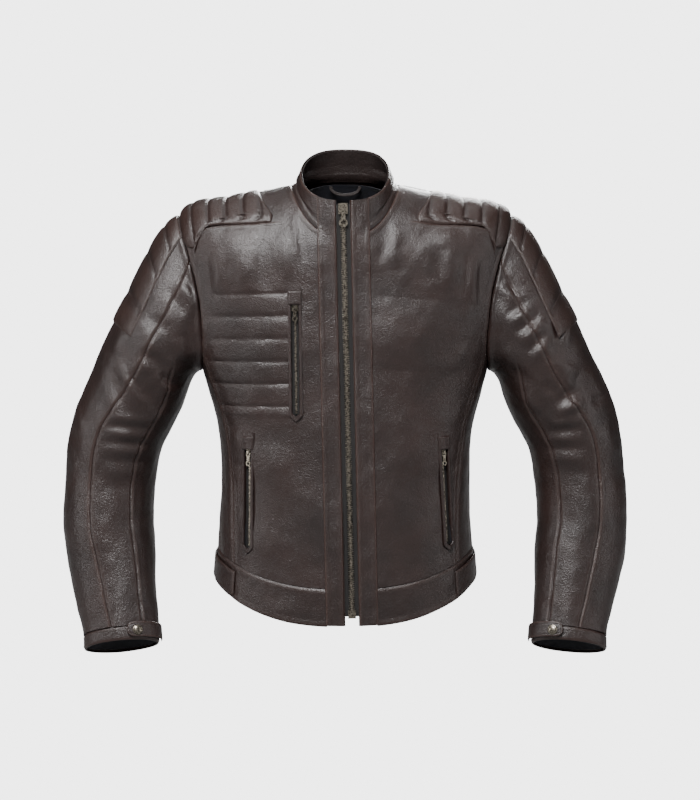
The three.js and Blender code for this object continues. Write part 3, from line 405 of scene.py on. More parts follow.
def sheet_mesh(outer, inner, wrapped=False):
    """Closed sheet between two grids of one size: both skins and the rim between them."""
    rows, columns = outer.shape[:2]
    skin, top = rows * columns, (rows - 1) * columns
    i = np.arange(columns if wrapped else columns - 1)
    right = (i + 1) % columns
    rim = [np.stack([i, i + skin, right + skin, right], -1),
           np.stack([top + i, top + right, top + right + skin, top + i + skin], -1)]
    if not wrapped:
        j = np.arange(rows - 1) * columns
        rim.append(np.stack([j, j + columns, j + columns + skin, j + skin], -1))
        j = j + columns - 1
        rim.append(np.stack([j, j + skin, j + columns + skin, j + columns], -1))
    front, back = grid_faces(rows, columns, wrapped), grid_faces(rows, columns, wrapped, skin)[:, ::-1]
    vertices = np.concatenate([outer.reshape(-1, 3), inner.reshape(-1, 3)])
    return outwards_first(vertices, np.concatenate([front, back, *rim]))


def merged(parts):
    """Several meshes as one list of vertices and one of quads."""
    counts = np.cumsum([0] + [len(v) for v, _ in parts[:-1]])
    return np.concatenate([v for v, _ in parts]), np.concatenate([f + n for (_, f), n in zip(parts, counts)])


def read_line(at, run, values):
    """A line's values at places along its run."""
    return np.stack([np.interp(at, run, values[:, k]) for k in range(3)], -1)


def repeated(faces, corners, count):
    """The faces of one small mesh, said again for each of its copies."""
    return (faces[None] + (np.arange(count) * corners)[:, None, None]).reshape(-1, 4)


def edge_distances(points):
    """Distance of each grid point from the grid's left, right, bottom and top edges, along it."""
    across = np.linalg.norm(np.diff(points, axis=1), axis=2)
    across = np.concatenate([np.zeros((len(points), 1)), np.cumsum(across, axis=1)], axis=1)
    up = np.linalg.norm(np.diff(points, axis=0), axis=2)
    up = np.concatenate([np.zeros((1, points.shape[1])), np.cumsum(up, axis=0)], axis=0)
    return {"left": across, "right": across[:, -1:] - across, "bottom": up, "top": up[-1:] - up}


def nearest_edge(distances):
    """Distance from whichever edge of the grid is nearest."""
    return np.minimum(np.minimum(distances["left"], distances["right"]),
                      np.minimum(distances["bottom"], distances["top"]))


def seam_relief(distances, laps, unders):
    """A lap is raised over its seam allowance and rolls down at its edge. An under edge dips."""
    height = np.zeros_like(distances["left"])
    rub = np.zeros_like(height)
    for side in laps:
        d = distances[side]
        height += 0.55 * (1 - smooth((d - 6) / 2.5)) - 1.7 * (1 - smooth(d / 1.8)) ** 2
        rub = np.maximum(rub, 0.9 * bell(d - 1.2, 1.2) + 0.25 * bell(d, 7))
    for side in unders:
        d = distances[side]
        height -= 1.5 * (1 - smooth(d / 4))
        rub = np.maximum(rub, 0.3 * bell(d - 3.5, 2.5))
    return height, rub


def crossing(points, outward, measure, value, along_rows):
    """The line across a grid where a measure, rising along each row or column, passes a value."""
    if not along_rows:
        points, outward, measure = points.swapaxes(0, 1), outward.swapaxes(0, 1), measure.T
    k = (measure < value).sum(axis=1)
    keep = (k > 0) & (k < measure.shape[1])
    row = np.arange(len(k))[keep]
    k = k[keep]
    low, high = measure[row, k - 1], measure[row, k]
    t = ((value - low) / np.maximum(high - low, 1e-6))[:, None]
    return lerp(points[row, k - 1], points[row, k], t), outward[row, k]


def inset_line(points, outward, distances, side, inset, trim=3):
    """The line at a distance inside one edge of a grid, stopping short of the edges it runs to."""
    way = 1 if side in ("left", "bottom") else -1  # the other edges' distances fall along the grid
    line, normal = crossing(points, outward, way * distances[side], way * inset, side in ("left", "right"))
    return line[trim:-trim], normal[trim:-trim]


STITCH_RINGS = ((-0.5, 0.25), (-0.3, 1.0), (0.3, 1.0), (0.5, 0.25))  # place along a stitch, size there


THREAD_RADIUS, THREAD_RISE = 0.42, 0.12  # the thread, and how high its middle lies over the leather
THREAD_FLAT = 0.8  # share of its thickness that pulling tight leaves it


def stitch_mesh(lines, pitch, length):
    """Stitches along lines: each is four square rings, thick in the middle and pulled in at its ends."""
    places, ways, ups = [], [], []
    for line, normal in lines:
        if len(line) < 3:
            continue
        steps = np.linalg.norm(np.diff(line, axis=0), axis=1)
        run = np.concatenate([[0], np.cumsum(steps)])
        if run[-1] < 2 * pitch:
            continue
        at = np.arange(pitch / 2, run[-1] - pitch / 2, pitch)
        up = unit(read_line(at, run, normal))
        places.append(read_line(at, run, line) + up * THREAD_RISE)
        ways.append(unit(read_line(at + 0.5, run, line) - read_line(at - 0.5, run, line)))
        ups.append(up)
    place, way, up = (np.concatenate(x) for x in (places, ways, ups))
    side = unit(np.cross(way, up))
    up = np.cross(side, way)
    rings = []
    for along, size in STITCH_RINGS:
        for a, b in ((1, 0), (0, 1), (-1, 0), (0, -1)):
            corner = (side * a + up * b * THREAD_FLAT) * size * THREAD_RADIUS
            rings.append(place + way * along * length + corner)
    vertices = np.stack(rings, 1).reshape(-1, 3)
    quads = np.concatenate([grid_faces(4, 4, True), [[3, 2, 1, 0], [12, 13, 14, 15]]])
    _, quads = outwards_first(vertices[:16], quads)
    return vertices, repeated(quads, 16, len(place))


def mirrored(points, side):
    """Points of the left side as they are, or turned over to the right (side -1)."""
    return points * np.array([side, 1.0, 1.0])


class Panel:
    """A cut piece of leather on a form: a grid of the form's two coordinates, raised by its relief."""

    def __init__(self, surface, out, u, v, side=1, laps=(), unders=(), folds=(), front_only=True, lift=0.0):
        base = self.base = mirrored(surface(u, v), side)
        self.outward = mirrored(out(u, v), side)
        self.distances = edge_distances(base)
        front = smooth((-self.outward[..., 1] + 0.15) / 0.5) if front_only else 1.0
        outwards = side if surface is sleeve else 1
        relief = hanging(base, folds, outwards, front)
        floor = 5.0 if surface is sleeve else 1.5  # how deep a fold may go before it meets the lining
        self.relief = np.where(relief < 0, -floor * np.tanh(-relief / floor), relief) + lift
        self.recess = np.zeros_like(relief)
        seam, self.rub = seam_relief(self.distances, laps, unders)
        self.height = self.relief + seam

    def points(self, height=None):
        """The grid raised by a height, or by the panel's own."""
        height = self.height if height is None else height
        return self.base + self.outward * height[..., None]

    def stitches(self, side, inset, trim):
        """A row of stitches inside one edge."""
        return inset_line(self.points(), self.outward, self.distances, side, inset, trim)

    def build(self, name, material, thick=None, inner=None):
        """The panel as a closed sheet, its inner face a softer copy of its relief unless one is given."""
        thick = millimetres("leather") if thick is None else thick
        back = self.relief * 0.8 - thick if inner is None else inner
        vertices, faces = sheet_mesh(self.points(self.height - self.recess), self.points(back - self.recess))
        rub = np.concatenate([self.rub.ravel(), np.zeros(self.rub.size)])
        return add_mesh(name, vertices, faces, material, rub)


def ruled(left, right, level, columns):
    """A grid ruled straight across, at each level, between its values at two edges."""
    u = lerp(left[:, None], right[:, None], np.linspace(0, 1, columns))
    return u, np.broadcast_to(level[:, None], u.shape)


# ---- materials --------------------------------------------------------------------------------


def linear(code):
    """Linear colour of an sRGB hex value; a colour that is already linear passes through."""
    if not isinstance(code, str):
        return tuple(code)
    s = np.array([int(code[k:k + 2], 16) for k in (1, 3, 5)]) / 255
    return (*np.where(s <= 0.04045, s / 12.92, ((s + 0.055) / 1.055) ** 2.4), 1.0)


def node(tree, kind, links=None, **settings):
    """Adds a node: settings name its properties or unlinked sockets, links name sockets to join."""
    made = tree.nodes.new(kind)
    for key, value in settings.items():
        if hasattr(made, key):
            setattr(made, key, value)
        else:
            made.inputs[key.replace("_", " ")].default_value = value
    for key, socket in (links or {}).items():
        tree.links.new(socket, made.inputs[key])
    return made


def new_material(name, shader_settings):
    """A material with one Principled shader, its tree and the shader."""
    material = bpy.data.materials.new(name)
    material.use_nodes = True
    tree = material.node_tree
    tree.nodes.clear()
    shader = node(tree, "ShaderNodeBsdfPrincipled", **shader_settings)
    node(tree, "ShaderNodeOutputMaterial", {"Surface": shader.outputs[0]})
    return material, tree, shader


def ramp(tree, factor, stops):
    """A colour ramp of (place, sRGB hex) stops."""
    made = node(tree, "ShaderNodeValToRGB", {"Fac": factor})
    while len(made.color_ramp.elements) < len(stops):
        made.color_ramp.elements.new(0.5)
    for element, (place, code) in zip(made.color_ramp.elements, stops):
        element.position = place
        element.color = linear(code)
    return made.outputs["Color"]


# Real sizes in millimetres: a pebble of the grain, drawn a little coarse so that it shows, a crease
# between pebbles' groups, a cloud of dye, and a blotch of tarnish on metal.
GRAIN, CREASE, CLOUD, TARNISH = 1.3, 3.846, 62.5, 2.38


def leather_material(name, dark, body, worn, roughness):
    """Full-grain cowhide, drum-dyed and waxed: pebbled grain with soft creases, a satin gloss that
    breaks up over the pebbles, darker in its hollows and rubbed lighter along its folds and edges."""
    material, tree, shader = new_material(name, {"IOR": 1.5, "Specular_IOR_Level": 0.55})
    place = node(tree, "ShaderNodeTexCoord").outputs["Object"]
    cells = node(tree, "ShaderNodeTexVoronoi", {"Vector": place}, feature="SMOOTH_F1", Scale=1000 / GRAIN,
                 Smoothness=0.6)
    crease = node(tree, "ShaderNodeTexNoise", {"Vector": place}, Scale=1000 / CREASE, Detail=8.0,
                  Roughness=0.62)
    cloud = node(tree, "ShaderNodeTexNoise", {"Vector": place}, Scale=1000 / CLOUD, Detail=4.0,
                 Roughness=0.55)
    rub = node(tree, "ShaderNodeAttribute", attribute_name="rub").outputs["Fac"]
    colour = ramp(tree, cloud.outputs["Fac"], [(0.3, dark), (0.7, body)])
    mottle = node(tree, "ShaderNodeMath", {0: rub, 1: crease.outputs["Fac"]}, operation="MULTIPLY")
    mixed = node(tree, "ShaderNodeMix", {"Factor": mottle.outputs[0], 6: colour}, data_type="RGBA")
    mixed.inputs[7].default_value = linear(worn)
    tree.links.new(mixed.outputs[2], shader.inputs["Base Color"])
    gloss = node(tree, "ShaderNodeMapRange", {"Value": crease.outputs["Fac"]}, To_Min=roughness - 0.07,
                 To_Max=roughness + 0.12)
    tree.links.new(gloss.outputs["Result"], shader.inputs["Roughness"])
    fine = node(tree, "ShaderNodeBump", {"Height": cells.outputs["Distance"]}, Strength=0.55, Distance=0.0006)
    soft = node(tree, "ShaderNodeBump", {"Height": crease.outputs["Fac"], "Normal": fine.outputs[0]},
                Strength=0.55, Distance=0.0012)
    tree.links.new(soft.outputs[0], shader.inputs["Normal"])
    return material


def woven_material(name, colour, thread, thread_mm, roughness, sheen):
    """Woven cloth: plain weave whose threads cross, so that light breaks up finely across it."""
    material, tree, shader = new_material(name, {"IOR": 1.45, "Sheen_Weight": sheen, "Sheen_Roughness": 0.4})
    place = node(tree, "ShaderNodeTexCoord").outputs["Object"]
    scale = 1000 / thread_mm / 6.28  # a wave turns once for each thread
    warp = node(tree, "ShaderNodeTexWave", {"Vector": place}, bands_direction="X", Scale=scale)
    weft = node(tree, "ShaderNodeTexWave", {"Vector": place}, bands_direction="Z", Scale=scale)
    both = node(tree, "ShaderNodeMath", {0: warp.outputs["Fac"], 1: weft.outputs["Fac"]},
                operation="MULTIPLY")
    tree.links.new(ramp(tree, both.outputs[0], [(0.0, colour), (1.0, thread)]), shader.inputs["Base Color"])
    shader.inputs["Roughness"].default_value = roughness
    bump = node(tree, "ShaderNodeBump", {"Height": both.outputs[0]}, Strength=0.5, Distance=0.0003)
    tree.links.new(bump.outputs[0], shader.inputs["Normal"])
    return material


def metal_material(name, bright, tarnish, roughness):
    """Plated or plain metal, aged: bright where it is handled, brown-black in blotches where it isn't."""
    material, tree, shader = new_material(name, {"Metallic": 1.0})
    place = node(tree, "ShaderNodeTexCoord").outputs["Object"]
    patch = node(tree, "ShaderNodeTexNoise", {"Vector": place}, Scale=1000 / TARNISH, Detail=5.0)
    colour = ramp(tree, patch.outputs["Fac"], [(0.35, tarnish), (0.6, bright)])
    tree.links.new(colour, shader.inputs["Base Color"])
    gloss = node(tree, "ShaderNodeMapRange", {"Value": patch.outputs["Fac"]}, To_Min=roughness + 0.12,
                 To_Max=roughness - 0.08)
    tree.links.new(gloss.outputs["Result"], shader.inputs["Roughness"])
    bump = node(tree, "ShaderNodeBump", {"Height": patch.outputs["Fac"]}, Strength=0.15, Distance=0.0002)
    tree.links.new(bump.outputs[0], shader.inputs["Normal"])
    return material


def make_materials(finish):
    """Every finish of the jacket, by name."""
    return {
        "shell": leather_material("waxed cowhide, brown", finish.hollow, finish.body, finish.worn, 0.37),
        "trim": leather_material("waxed cowhide, dark trim", "#1a1211", "#241a18", "#3a2a25", 0.46),
        "thread": woven_material("bonded nylon thread", "#231815", "#3f2c26", 0.6, 0.6, 0.1),
        "tape": woven_material("polyester zip tape", "#0d0c0c", "#24211f", 0.9, 0.8, 0.1),
        "lining": woven_material("viscose satin lining", "#0c0d14", "#1c1e2a", 0.7, 0.5, 0.3),
        "nickel": metal_material("antiqued nickel plate", "#8f887c", "#3a342d", 0.3),
        "brass": metal_material("antiqued brass teeth", "#938b80", "#3a352e", 0.34),
    }


MATERIALS = {}


def settings():
    """The sizes and colours of the sidebar."""
    return bpy.context.scene.jacket_finish


def millimetres(size):
    """A size of the sidebar in millimetres, to the nearest micrometre."""
    return round(getattr(settings(), size) / MM, 3)


# ---- shell panels ------------------------------------------------------------------------------


class Threads:
    """Stitch lines gathered by the body they ride on and the part of the jacket they belong to."""

    def __init__(self):
        self.lines = {}

    def add(self, where, panel, side, inset=3.2, trim=3):
        """Stitches along one edge of a panel, at an inset."""
        self.add_line(where, *panel.stitches(side, inset, trim))

    def add_line(self, where, line, normal):
        """Stitches along any line."""
        self.lines.setdefault(where, []).append((line, normal))

    def add_groove(self, where, line, normal):
        """Stitches in a quilted groove, short of the padding's edges."""
        if len(line) > 12:
            self.add_line(where, line[5:-5], normal[5:-5])


THREADS = Threads()


def ride(piece, body, slot, *nodes):
    """Attaches a finished piece to its body and hides the frame nodes that it replaces; its slot is not used.
    """
    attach(piece, body)
    if nodes:
        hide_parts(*nodes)
    return piece


def quilt_dips(distance, spacing, deep, wide):
    """Stitched-down grooves at an even spacing, soft between them: a rounded valley per line."""
    off = np.abs((distance / spacing + 0.5) % 1 - 0.5) * spacing
    return -deep * np.exp(-np.abs(off / wide) ** 1.3)


def make_front(side, name):
    """Front panel: ruled between the placket edge and the side seam, armhole and yoke seam, from the
    waistband up to the shoulder; its height carries the hanging folds, and on the wearer's right
    the quilted lines beside the chest zip."""
    level = np.concatenate([np.linspace(1, ARMHOLE_FOOT, 150),
                            np.linspace(ARMHOLE_FOOT, YOKE_NECK_LEVEL, 110)[1:]])
    u, v = ruled(beside(side, PLACKET_OUTER - TUCK, level), front_edge(level), level, 84)
    panel = Panel(torso, torso_out, u, v, side, laps=("right",), folds=CHEST_FOLDS)
    if side < 0:
        quilt_chest(panel)
    for pocket in POCKETS:
        if pocket["side"] == side:
            panel.recess = panel.recess + pocket_recess(pocket, panel.base)
    THREADS.add("jacket", panel, "right")
    ride(panel.build(f"front_panel_{name}", MATERIALS["shell"]), "jacket", "leather", f"front_panel_{name}")


TUCK = 2.0  # how far a front runs in under the placket
QUILT_TOP, QUILT_PITCH, QUILT_LINES = -144.0, 31.6, 6  # height of the top groove, way down to the next
QUILT_OUTER, QUILT_INNER = -196.0, -64.0  # x of the field's ends


def quilt_chest(panel):
    """Quilted field beside the chest zip: grooves at a pitch, sewn down along lines that fall slightly
    outwards, and between two grooves a swell that follows half a sine."""
    x = panel.base[..., 0]
    z = panel.base[..., 2] - (x + 150) * 0.03
    inside = smooth((x - QUILT_OUTER) / 16) * smooth((QUILT_INNER - x) / 5)
    for k in range(QUILT_LINES):
        groove = np.exp(-np.abs((z - QUILT_TOP + QUILT_PITCH * k) / 2.6) ** 1.2)
        panel.height = panel.height - inside * 1.2 * groove
    height = panel.base[..., 2]
    belly = inside * smooth((-140 - height) / 8) * smooth((height + 318) / 8)
    panel.height = panel.height + belly * 0.9 * np.abs(np.sin(np.pi * (z - QUILT_TOP) / QUILT_PITCH)) ** 0.7
    for k in range(QUILT_LINES):
        line, normal = crossing(panel.points(), panel.outward, -z, QUILT_PITCH * k - QUILT_TOP, False)
        keep = (line[:, 0] > QUILT_OUTER + 10) & (line[:, 0] < QUILT_INNER - 8)
        THREADS.add_line("jacket", line[keep], normal[keep])


# The pocket zips: distance from the main zip and level of their ends, and where the slider rests.
POCKETS = [
    {"name": "chest_pocket", "side": -1, "top": (-70, 5.38), "foot": (-72, 3.38), "body": "chest",
     "slider": (-69.59, -98.52, -156.95)},
    {"name": "hand_pocket_left", "side": 1, "top": (134, 2.98), "foot": (139, 1.37), "body": "hand_left",
     "slider": (136.24, -85.07, -362.09)},
    {"name": "hand_pocket_right", "side": -1, "top": (-141, 2.98), "foot": (-146, 1.37), "body": "hand_right",
     "slider": (-133.77, -86.7, -362.22)},
]


RECESS_DEEP, RECESS_HALF = 10.4, 6.4  # a pocket's slot under its welts


def pocket_line(pocket, steps=60):
    """Points and outward directions along a pocket zip, from its top end to its foot."""
    t = np.linspace(0, 1, steps)
    level = lerp(pocket["top"][1], pocket["foot"][1], t)
    distance = lerp(pocket["top"][0], pocket["foot"][0], t)
    angle = beside_zip(distance, level)
    return torso(angle, level), torso_out(angle, level)


def near_line(points, line):
    """Distance from a polyline's run seen from the front, and the place along it in millimetres."""
    start, end = line[0], line[-1]
    way = (end - start) / np.linalg.norm(end - start)
    along = (points - start) @ way
    off = points - read_line(along, (line - start) @ way, line)
    return np.linalg.norm(off - (off @ way)[..., None] * way, axis=-1), along


def pocket_recess(pocket, points):
    """The slot that a pocket zip lies in, pressed back into the panel under the welts."""
    line, _ = pocket_line(pocket)
    off, along = near_line(points, line)
    long = np.linalg.norm(line[-1] - line[0])
    ends = smooth((along + 3) / 3) * smooth((long + 3 - along) / 3)
    return RECESS_DEEP * (1 - smooth((off - RECESS_HALF) / 1.6)) * ends


def make_back():
    """Back panel in one piece from side seam to side seam and up to the collar, with soft waves, and a
    seam pressed across the shoulders along a cosine."""
    level = np.concatenate([np.linspace(1, ARMHOLE_FOOT, 130),
                            np.linspace(ARMHOLE_FOOT, UNDER_COLLAR, 120)[1:]])
    edge = np.where(level <= ARMHOLE_FOOT, SIDE_BACK, 180 - front_edge(level))
    over = np.clip((level - YOKE_NECK_LEVEL) / 0.05, 0, 1)
    edge = np.where(level > YOKE_NECK_LEVEL, lerp(180 - YOKE_EDGE_NECK, 90, over), edge)
    u, v = ruled(edge, 360 - edge, level, 190)
    panel = Panel(torso, torso_out, u, v, laps=("left", "right"), front_only=False)
    seam = np.abs(panel.base[..., 2] + 150 + 12 * np.cos(panel.base[..., 0] / 70))
    panel.height = panel.height - 1.2 * bell(seam, 1.6) + 0.5 * bell(seam - 5, 4)
    THREADS.add("jacket", panel, "left")
    THREADS.add("jacket", panel, "right")
    ride(panel.build("back_panel", MATERIALS["shell"]), "jacket", "leather", "back_panel")


def make_side(side, name):
    """Side panel between the front and back side seams, from the waistband to the armpit: its levels
    are stretched so that its top edge follows the armhole."""
    level = np.linspace(1, ARMHOLE_FOOT, 120)
    u, v = ruled(front_edge(level) + 0.1, np.full_like(level, SIDE_BACK - 0.1), level, 40)
    v = 1 + (v - 1) / (ARMHOLE_FOOT - 1) * (armhole_level(u[-1], -1) - 1)
    panel = Panel(torso, torso_out, u, v, side, unders=("left", "right"), folds=CHEST_FOLDS)
    ride(panel.build(f"side_panel_{name}", MATERIALS["shell"]), "jacket", "leather", f"side_panel_{name}")


def make_neck_strip(side, name):
    """The front panel's strip above the yoke, from the placket to the shoulder under the collar."""
    level = np.linspace(YOKE_NECK_LEVEL - 0.24, UNDER_COLLAR, 22)
    u, v = ruled(beside(side, PLACKET_OUTER - TUCK, level), np.full_like(level, 91.0), level, 40)
    panel = Panel(torso, torso_out, u, v, side, laps=("top",), folds=CHEST_FOLDS)
    ride(panel.build(f"neck_strip_{name}", MATERIALS["shell"]), "jacket", "leather")


YOKE_TOP = 7.384  # level of the yoke's edge beside the neck
YOKE_PITCH, YOKE_GROOVES = 25.5, 5


def quilted(panel, base, swell, roll, ribs, rub):
    """Padding: swells from its edges inwards by an exponential, rolls down at them, and is drawn in
    along the grooves across it."""
    edge = nearest_edge(panel.distances)
    panel.height = panel.relief * 0.4 + base + swell * (1 - np.exp(-edge / 6)) - roll * (1 - smooth(edge / 2))
    panel.height = panel.height + ribs * smooth((edge - 2) / 6)
    panel.rub = 0.5 * bell(edge - 2, 2) + rub * smooth(edge / 9)


def make_yoke(side, name):
    """Shoulder yoke: a padded patch over the shoulder, stitched down in lines that run from front to
    back, so that it swells between them; five grooves beside six soft ribs."""
    t = np.linspace(0, 1, 110)[:, None]
    s = np.linspace(0, 1, 150)[None, :]
    front = front_edge(YOKE_ARM + (YOKE_TOP - YOKE_ARM) * t + 0 * s) + 0.5
    angle = lerp(front, 180 - front, s)
    low = np.where(np.abs(angle - 90) < ARMHOLE_SPREAD, armhole_level(angle, 1), YOKE_ARM)
    corner = np.clip(1 - np.minimum(s, 1 - s) / 0.1, 0, 1)  # the corners beside the neck are drawn down
    level = low + (YOKE_TOP - low) * t + 0.004 - 0.15 * corner ** 2.2 * t ** 3
    panel = Panel(torso, torso_out, angle, level, side, front_only=False)
    out = panel.distances["bottom"] + 2.5 * np.sin(s * 6.0)
    ribs = quilt_dips(out, YOKE_PITCH, 2.3, 3.4)
    quilted(panel, 1.2, 3.0, 1.3, ribs, 0.35 * smooth((ribs + 1.4) / 1.4))
    for edge in ("left", "right"):
        THREADS.add("jacket", panel, edge, 2.6)
    for k in range(1, YOKE_GROOVES + 1):
        THREADS.add_groove("jacket", *crossing(panel.points(), panel.outward, out, YOKE_PITCH * k, False))
    piece = panel.build(f"shoulder_yoke_{name}", MATERIALS["shell"],
                        inner=np.full(panel.height.shape, -millimetres("leather")))
    ride(piece, "jacket", "leather", f"shoulder_yoke_{name}")


def make_placket(side, name):
    """Placket: a flat facing beside the main zip from hem to collar, its folded edge rolled over."""
    level = np.linspace(0.03, 9.97, 380)
    u, v = ruled(beside(side, PLACKET_INNER, level), beside(side, PLACKET_OUTER, level), level, 22)
    panel = Panel(torso, torso_out, u, v, side, laps=("right", "left"), folds=CHEST_FOLDS, lift=0.9)
    panel.height = panel.height - 2.4 * (1 - smooth(panel.distances["left"] / 3)) ** 2
    THREADS.add("jacket", panel, "right")
    THREADS.add("jacket", panel, "left", 4.4)
    piece = panel.build(f"placket_{name}", MATERIALS["shell"], thick=2.4)
    ride(piece, "jacket", "leather", f"placket_{name}")


def make_waistband(side, name):
    """Waistband: two leathers thick, stitched along its top seam and its hem, and let in a little at
    the seam, so that the jacket's skirt swells over it."""
    level = np.linspace(0.0, 1.0, 26)
    if name == "back":
        label, columns = "waistband_back", 170
        left, right = np.full_like(level, SIDE_BACK + 0.2), np.full_like(level, 360 - SIDE_BACK - 0.2)
    else:
        label, columns = f"waistband_front_{name}", 110
        left, right = beside(side, PLACKET_OUTER - 1.5, level), np.full_like(level, SIDE_BACK - 0.2)
    u, v = ruled(left, right, level, columns)
    panel = Panel(torso, torso_out, u, v, side, laps=("bottom",), folds=CHEST_FOLDS, lift=0.4)
    top = panel.distances["top"]
    panel.height = panel.height - 2.0 * bell(top, 2.4) + 0.3 * bell(top - 5, 3)
    panel.rub = np.maximum(panel.rub, 0.4 * bell(top - 4, 2))
    THREADS.add("jacket", panel, "top", 4.5)
    THREADS.add("jacket", panel, "bottom", 3.4)
    ride(panel.build(label, MATERIALS["shell"], thick=3.0), "jacket", "leather", label)


# ---- sleeves -----------------------------------------------------------------------------------


def blend_sleeve(piece, side, name, slot, *nodes):
    """Bakes the piece's place into its mesh and hides the frame nodes that it replaces; the piece rides on no
    body.
    """
    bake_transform(piece)
    if nodes:
        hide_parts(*nodes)


# Turn of the seam between a sleeve's front and outer pieces, at each station.
SEAM_TURNS = np.array([30, 6, 10, 19, 20, 17, 14, 11, 9, 9], float)[:, None]


def front_seam(station):
    """Turn of the front seam at stations of the sleeve."""
    return read_table(SEAM_TURNS, station)[..., 0]


def make_sleeve(side, name):
    """Sleeve in two long pieces, front and outer, seamed at the front and under the arm: the sheet of
    sleeve() raised by its folds, gathered at the armhole, with the lower seam pressed into the front."""
    station = np.concatenate([np.linspace(0.015, 1.0, 66), np.linspace(1.0, CUFF_SEAM, 214)[1:]])
    seam = front_seam(station)
    under = np.full_like(station, UNDERARM)
    for part, left, right, columns in (("front", under, seam, 74), ("outer", seam, under + 360, 118)):
        u, v = ruled(left, right, station, columns)
        panel = Panel(sleeve, sleeve_out, u, v, side, laps=("left",), unders=("right",),
                      folds=SLEEVE_FOLDS[name])
        nodes = [f"upper_sleeve_{part}_{name}", f"forearm_{part}_{name}"]
        if part == "front":
            off = lower_seam(station)[:, None] - panel.distances["right"]
            lower, shown = np.abs(off), smooth((station - 0.9) / 0.4)[:, None]
            panel.height = panel.height - shown * (1.5 * bell(lower, 1.7) - 0.5 * bell(lower - 4, 2.6))
            panel.rub = np.maximum(panel.rub, 0.5 * shown * bell(lower - 2.6, 1.4))
            line, normal = crossing(panel.points(), panel.outward, off, 3.4, True)
            THREADS.add_line(f"sleeve_{name}", line[70:], normal[70:])
        else:
            panel.height = panel.height + 0.5
            nodes.append(f"elbow_{name}")
        head = panel.distances["bottom"]
        panel.height = panel.height + 1.4 * bell(head - 7, 5) - 1.2 * bell(head, 2.0)
        if part == "outer":
            THREADS.add(f"sleeve_{name}", panel, "left", 3.0)
            THREADS.add(f"sleeve_{name}", panel, "left", 7.2)
        piece = panel.build(f"sleeve_{part}_{name}", MATERIALS["shell"])
        blend_sleeve(piece, side, name, "leather", *nodes)


def lower_seam(station):
    """Distance of the front piece's second seam inside its outer edge, station by station."""
    return np.interp(station, [0, 1.0, 2.0, 3.0, 4.0, 5.0, 6.0, 8.3], [10, 42, 62, 66, 62, 60, 58, 44])


def make_cuff(side, name):
    """Cuff: a doubled band at the wrist, its seam let in and its mouth rolled."""
    station = np.linspace(CUFF_SEAM, WRIST, 24)
    under = np.full_like(station, UNDERARM)
    panel = Panel(sleeve, sleeve_out, *ruled(under, under + 360, station, 150), side, lift=0.5)
    seam, mouth = panel.distances["bottom"], panel.distances["top"]
    panel.height = panel.height * 0.6 - 1.8 * bell(seam, 2.2) - 1.2 * bell(mouth, 1.6)
    panel.rub = 0.6 * bell(mouth - 1.5, 1.6) + 0.3 * bell(seam - 3, 2)
    THREADS.add(f"forearm_{name}", panel, "bottom", 4.2)
    THREADS.add(f"forearm_{name}", panel, "top", 4.0)
    piece = panel.build(f"cuff_{name}", MATERIALS["shell"], inner=-3.0 - smooth(1 - mouth / 3))
    ride(piece, f"forearm_{name}", "leather", f"cuff_{name}")


def make_sleeve_quilt(side, name):
    """Sleeve cap: padded like the yoke above it, with three grooves across the shoulder's fall."""
    t = np.linspace(0, 1, 84)[:, None]
    s = np.linspace(0, 1, 120)[None, :]
    station = lerp(0.05, 1.03, t) + 0 * s
    turn = lerp(lerp(50, 28, t), 140, s)
    panel = Panel(sleeve, sleeve_out, turn, station, side, front_only=False)
    along = t * 3.6 + 0.12 * np.sin(s * 5)
    ribs = quilt_dips(along * 30, 30, 2.2, 3.4) * (along > 0.5) * (along < 3.5)
    quilted(panel, 1.9, 2.6, 1.2, ribs, 0.3 * smooth((ribs + 1.2) / 1.2))
    for edge in ("left", "right", "top"):
        THREADS.add("jacket", panel, edge, 2.6)
    for k in (1, 2, 3):
        THREADS.add_groove("jacket", *crossing(panel.points(), panel.outward, along, k, False))
    piece = panel.build(f"sleeve_quilt_{name}", MATERIALS["shell"], inner=np.full(panel.height.shape, 1.2))
    ride(piece, "jacket", "leather", f"sleeve_quilt_{name}")


def make_sleeve_lining(side, name):
    """Sleeve lining: a satin tube a finger's width inside the leather, gathered in soft waves."""
    station = np.linspace(0.3, 8.88, 120)
    u, v = np.meshgrid(np.linspace(0, 360, 90, endpoint=False), station)
    base, outward = (mirrored(form(u, v), side) for form in (sleeve, sleeve_out))
    depth = lerp(3.6, LINING_DEPTH, smooth(9 - v)) + 0.7 * (1 + undulation(base, NARROW) * 0.5)
    outer = base - outward * depth[..., None]
    piece = add_mesh(f"sleeve_lining_{name}", *sheet_mesh(outer, outer - outward * SATIN, wrapped=True),
                     MATERIALS["lining"])
    blend_sleeve(piece, side, name, "lining", f"sleeve_lining_{name}")


LINING_DEPTH, SATIN = 11.8, 0.8  # from the shell's face to the lining, and the lining's thickness


def make_body_lining():
    """Body lining: a satin sheet inside the shell, hung in soft vertical waves, open at the front."""
    level = np.linspace(0.3, 7.95, 150)
    u, v = ruled(beside_zip(20.0, level), 360 + beside_zip(-20.0, level), level, 260)
    base, outward = torso(u, v), torso_out(u, v)
    wave = 0.9 * np.sin(u * 0.32 + 0.7 * np.sin(v * 1.3)) * smooth((7.8 - v) / 0.6)
    wave = wave + 0.5 * undulation(base, NARROW)
    outer = base - outward * (LINING_DEPTH + 0.6 + np.abs(wave))[..., None]
    piece = add_mesh("body_lining", *sheet_mesh(outer, outer - outward * SATIN), MATERIALS["lining"])
    ride(piece, "jacket", "lining", "body_lining")


# ---- collar, trim --------------------------------------------------------------------------------


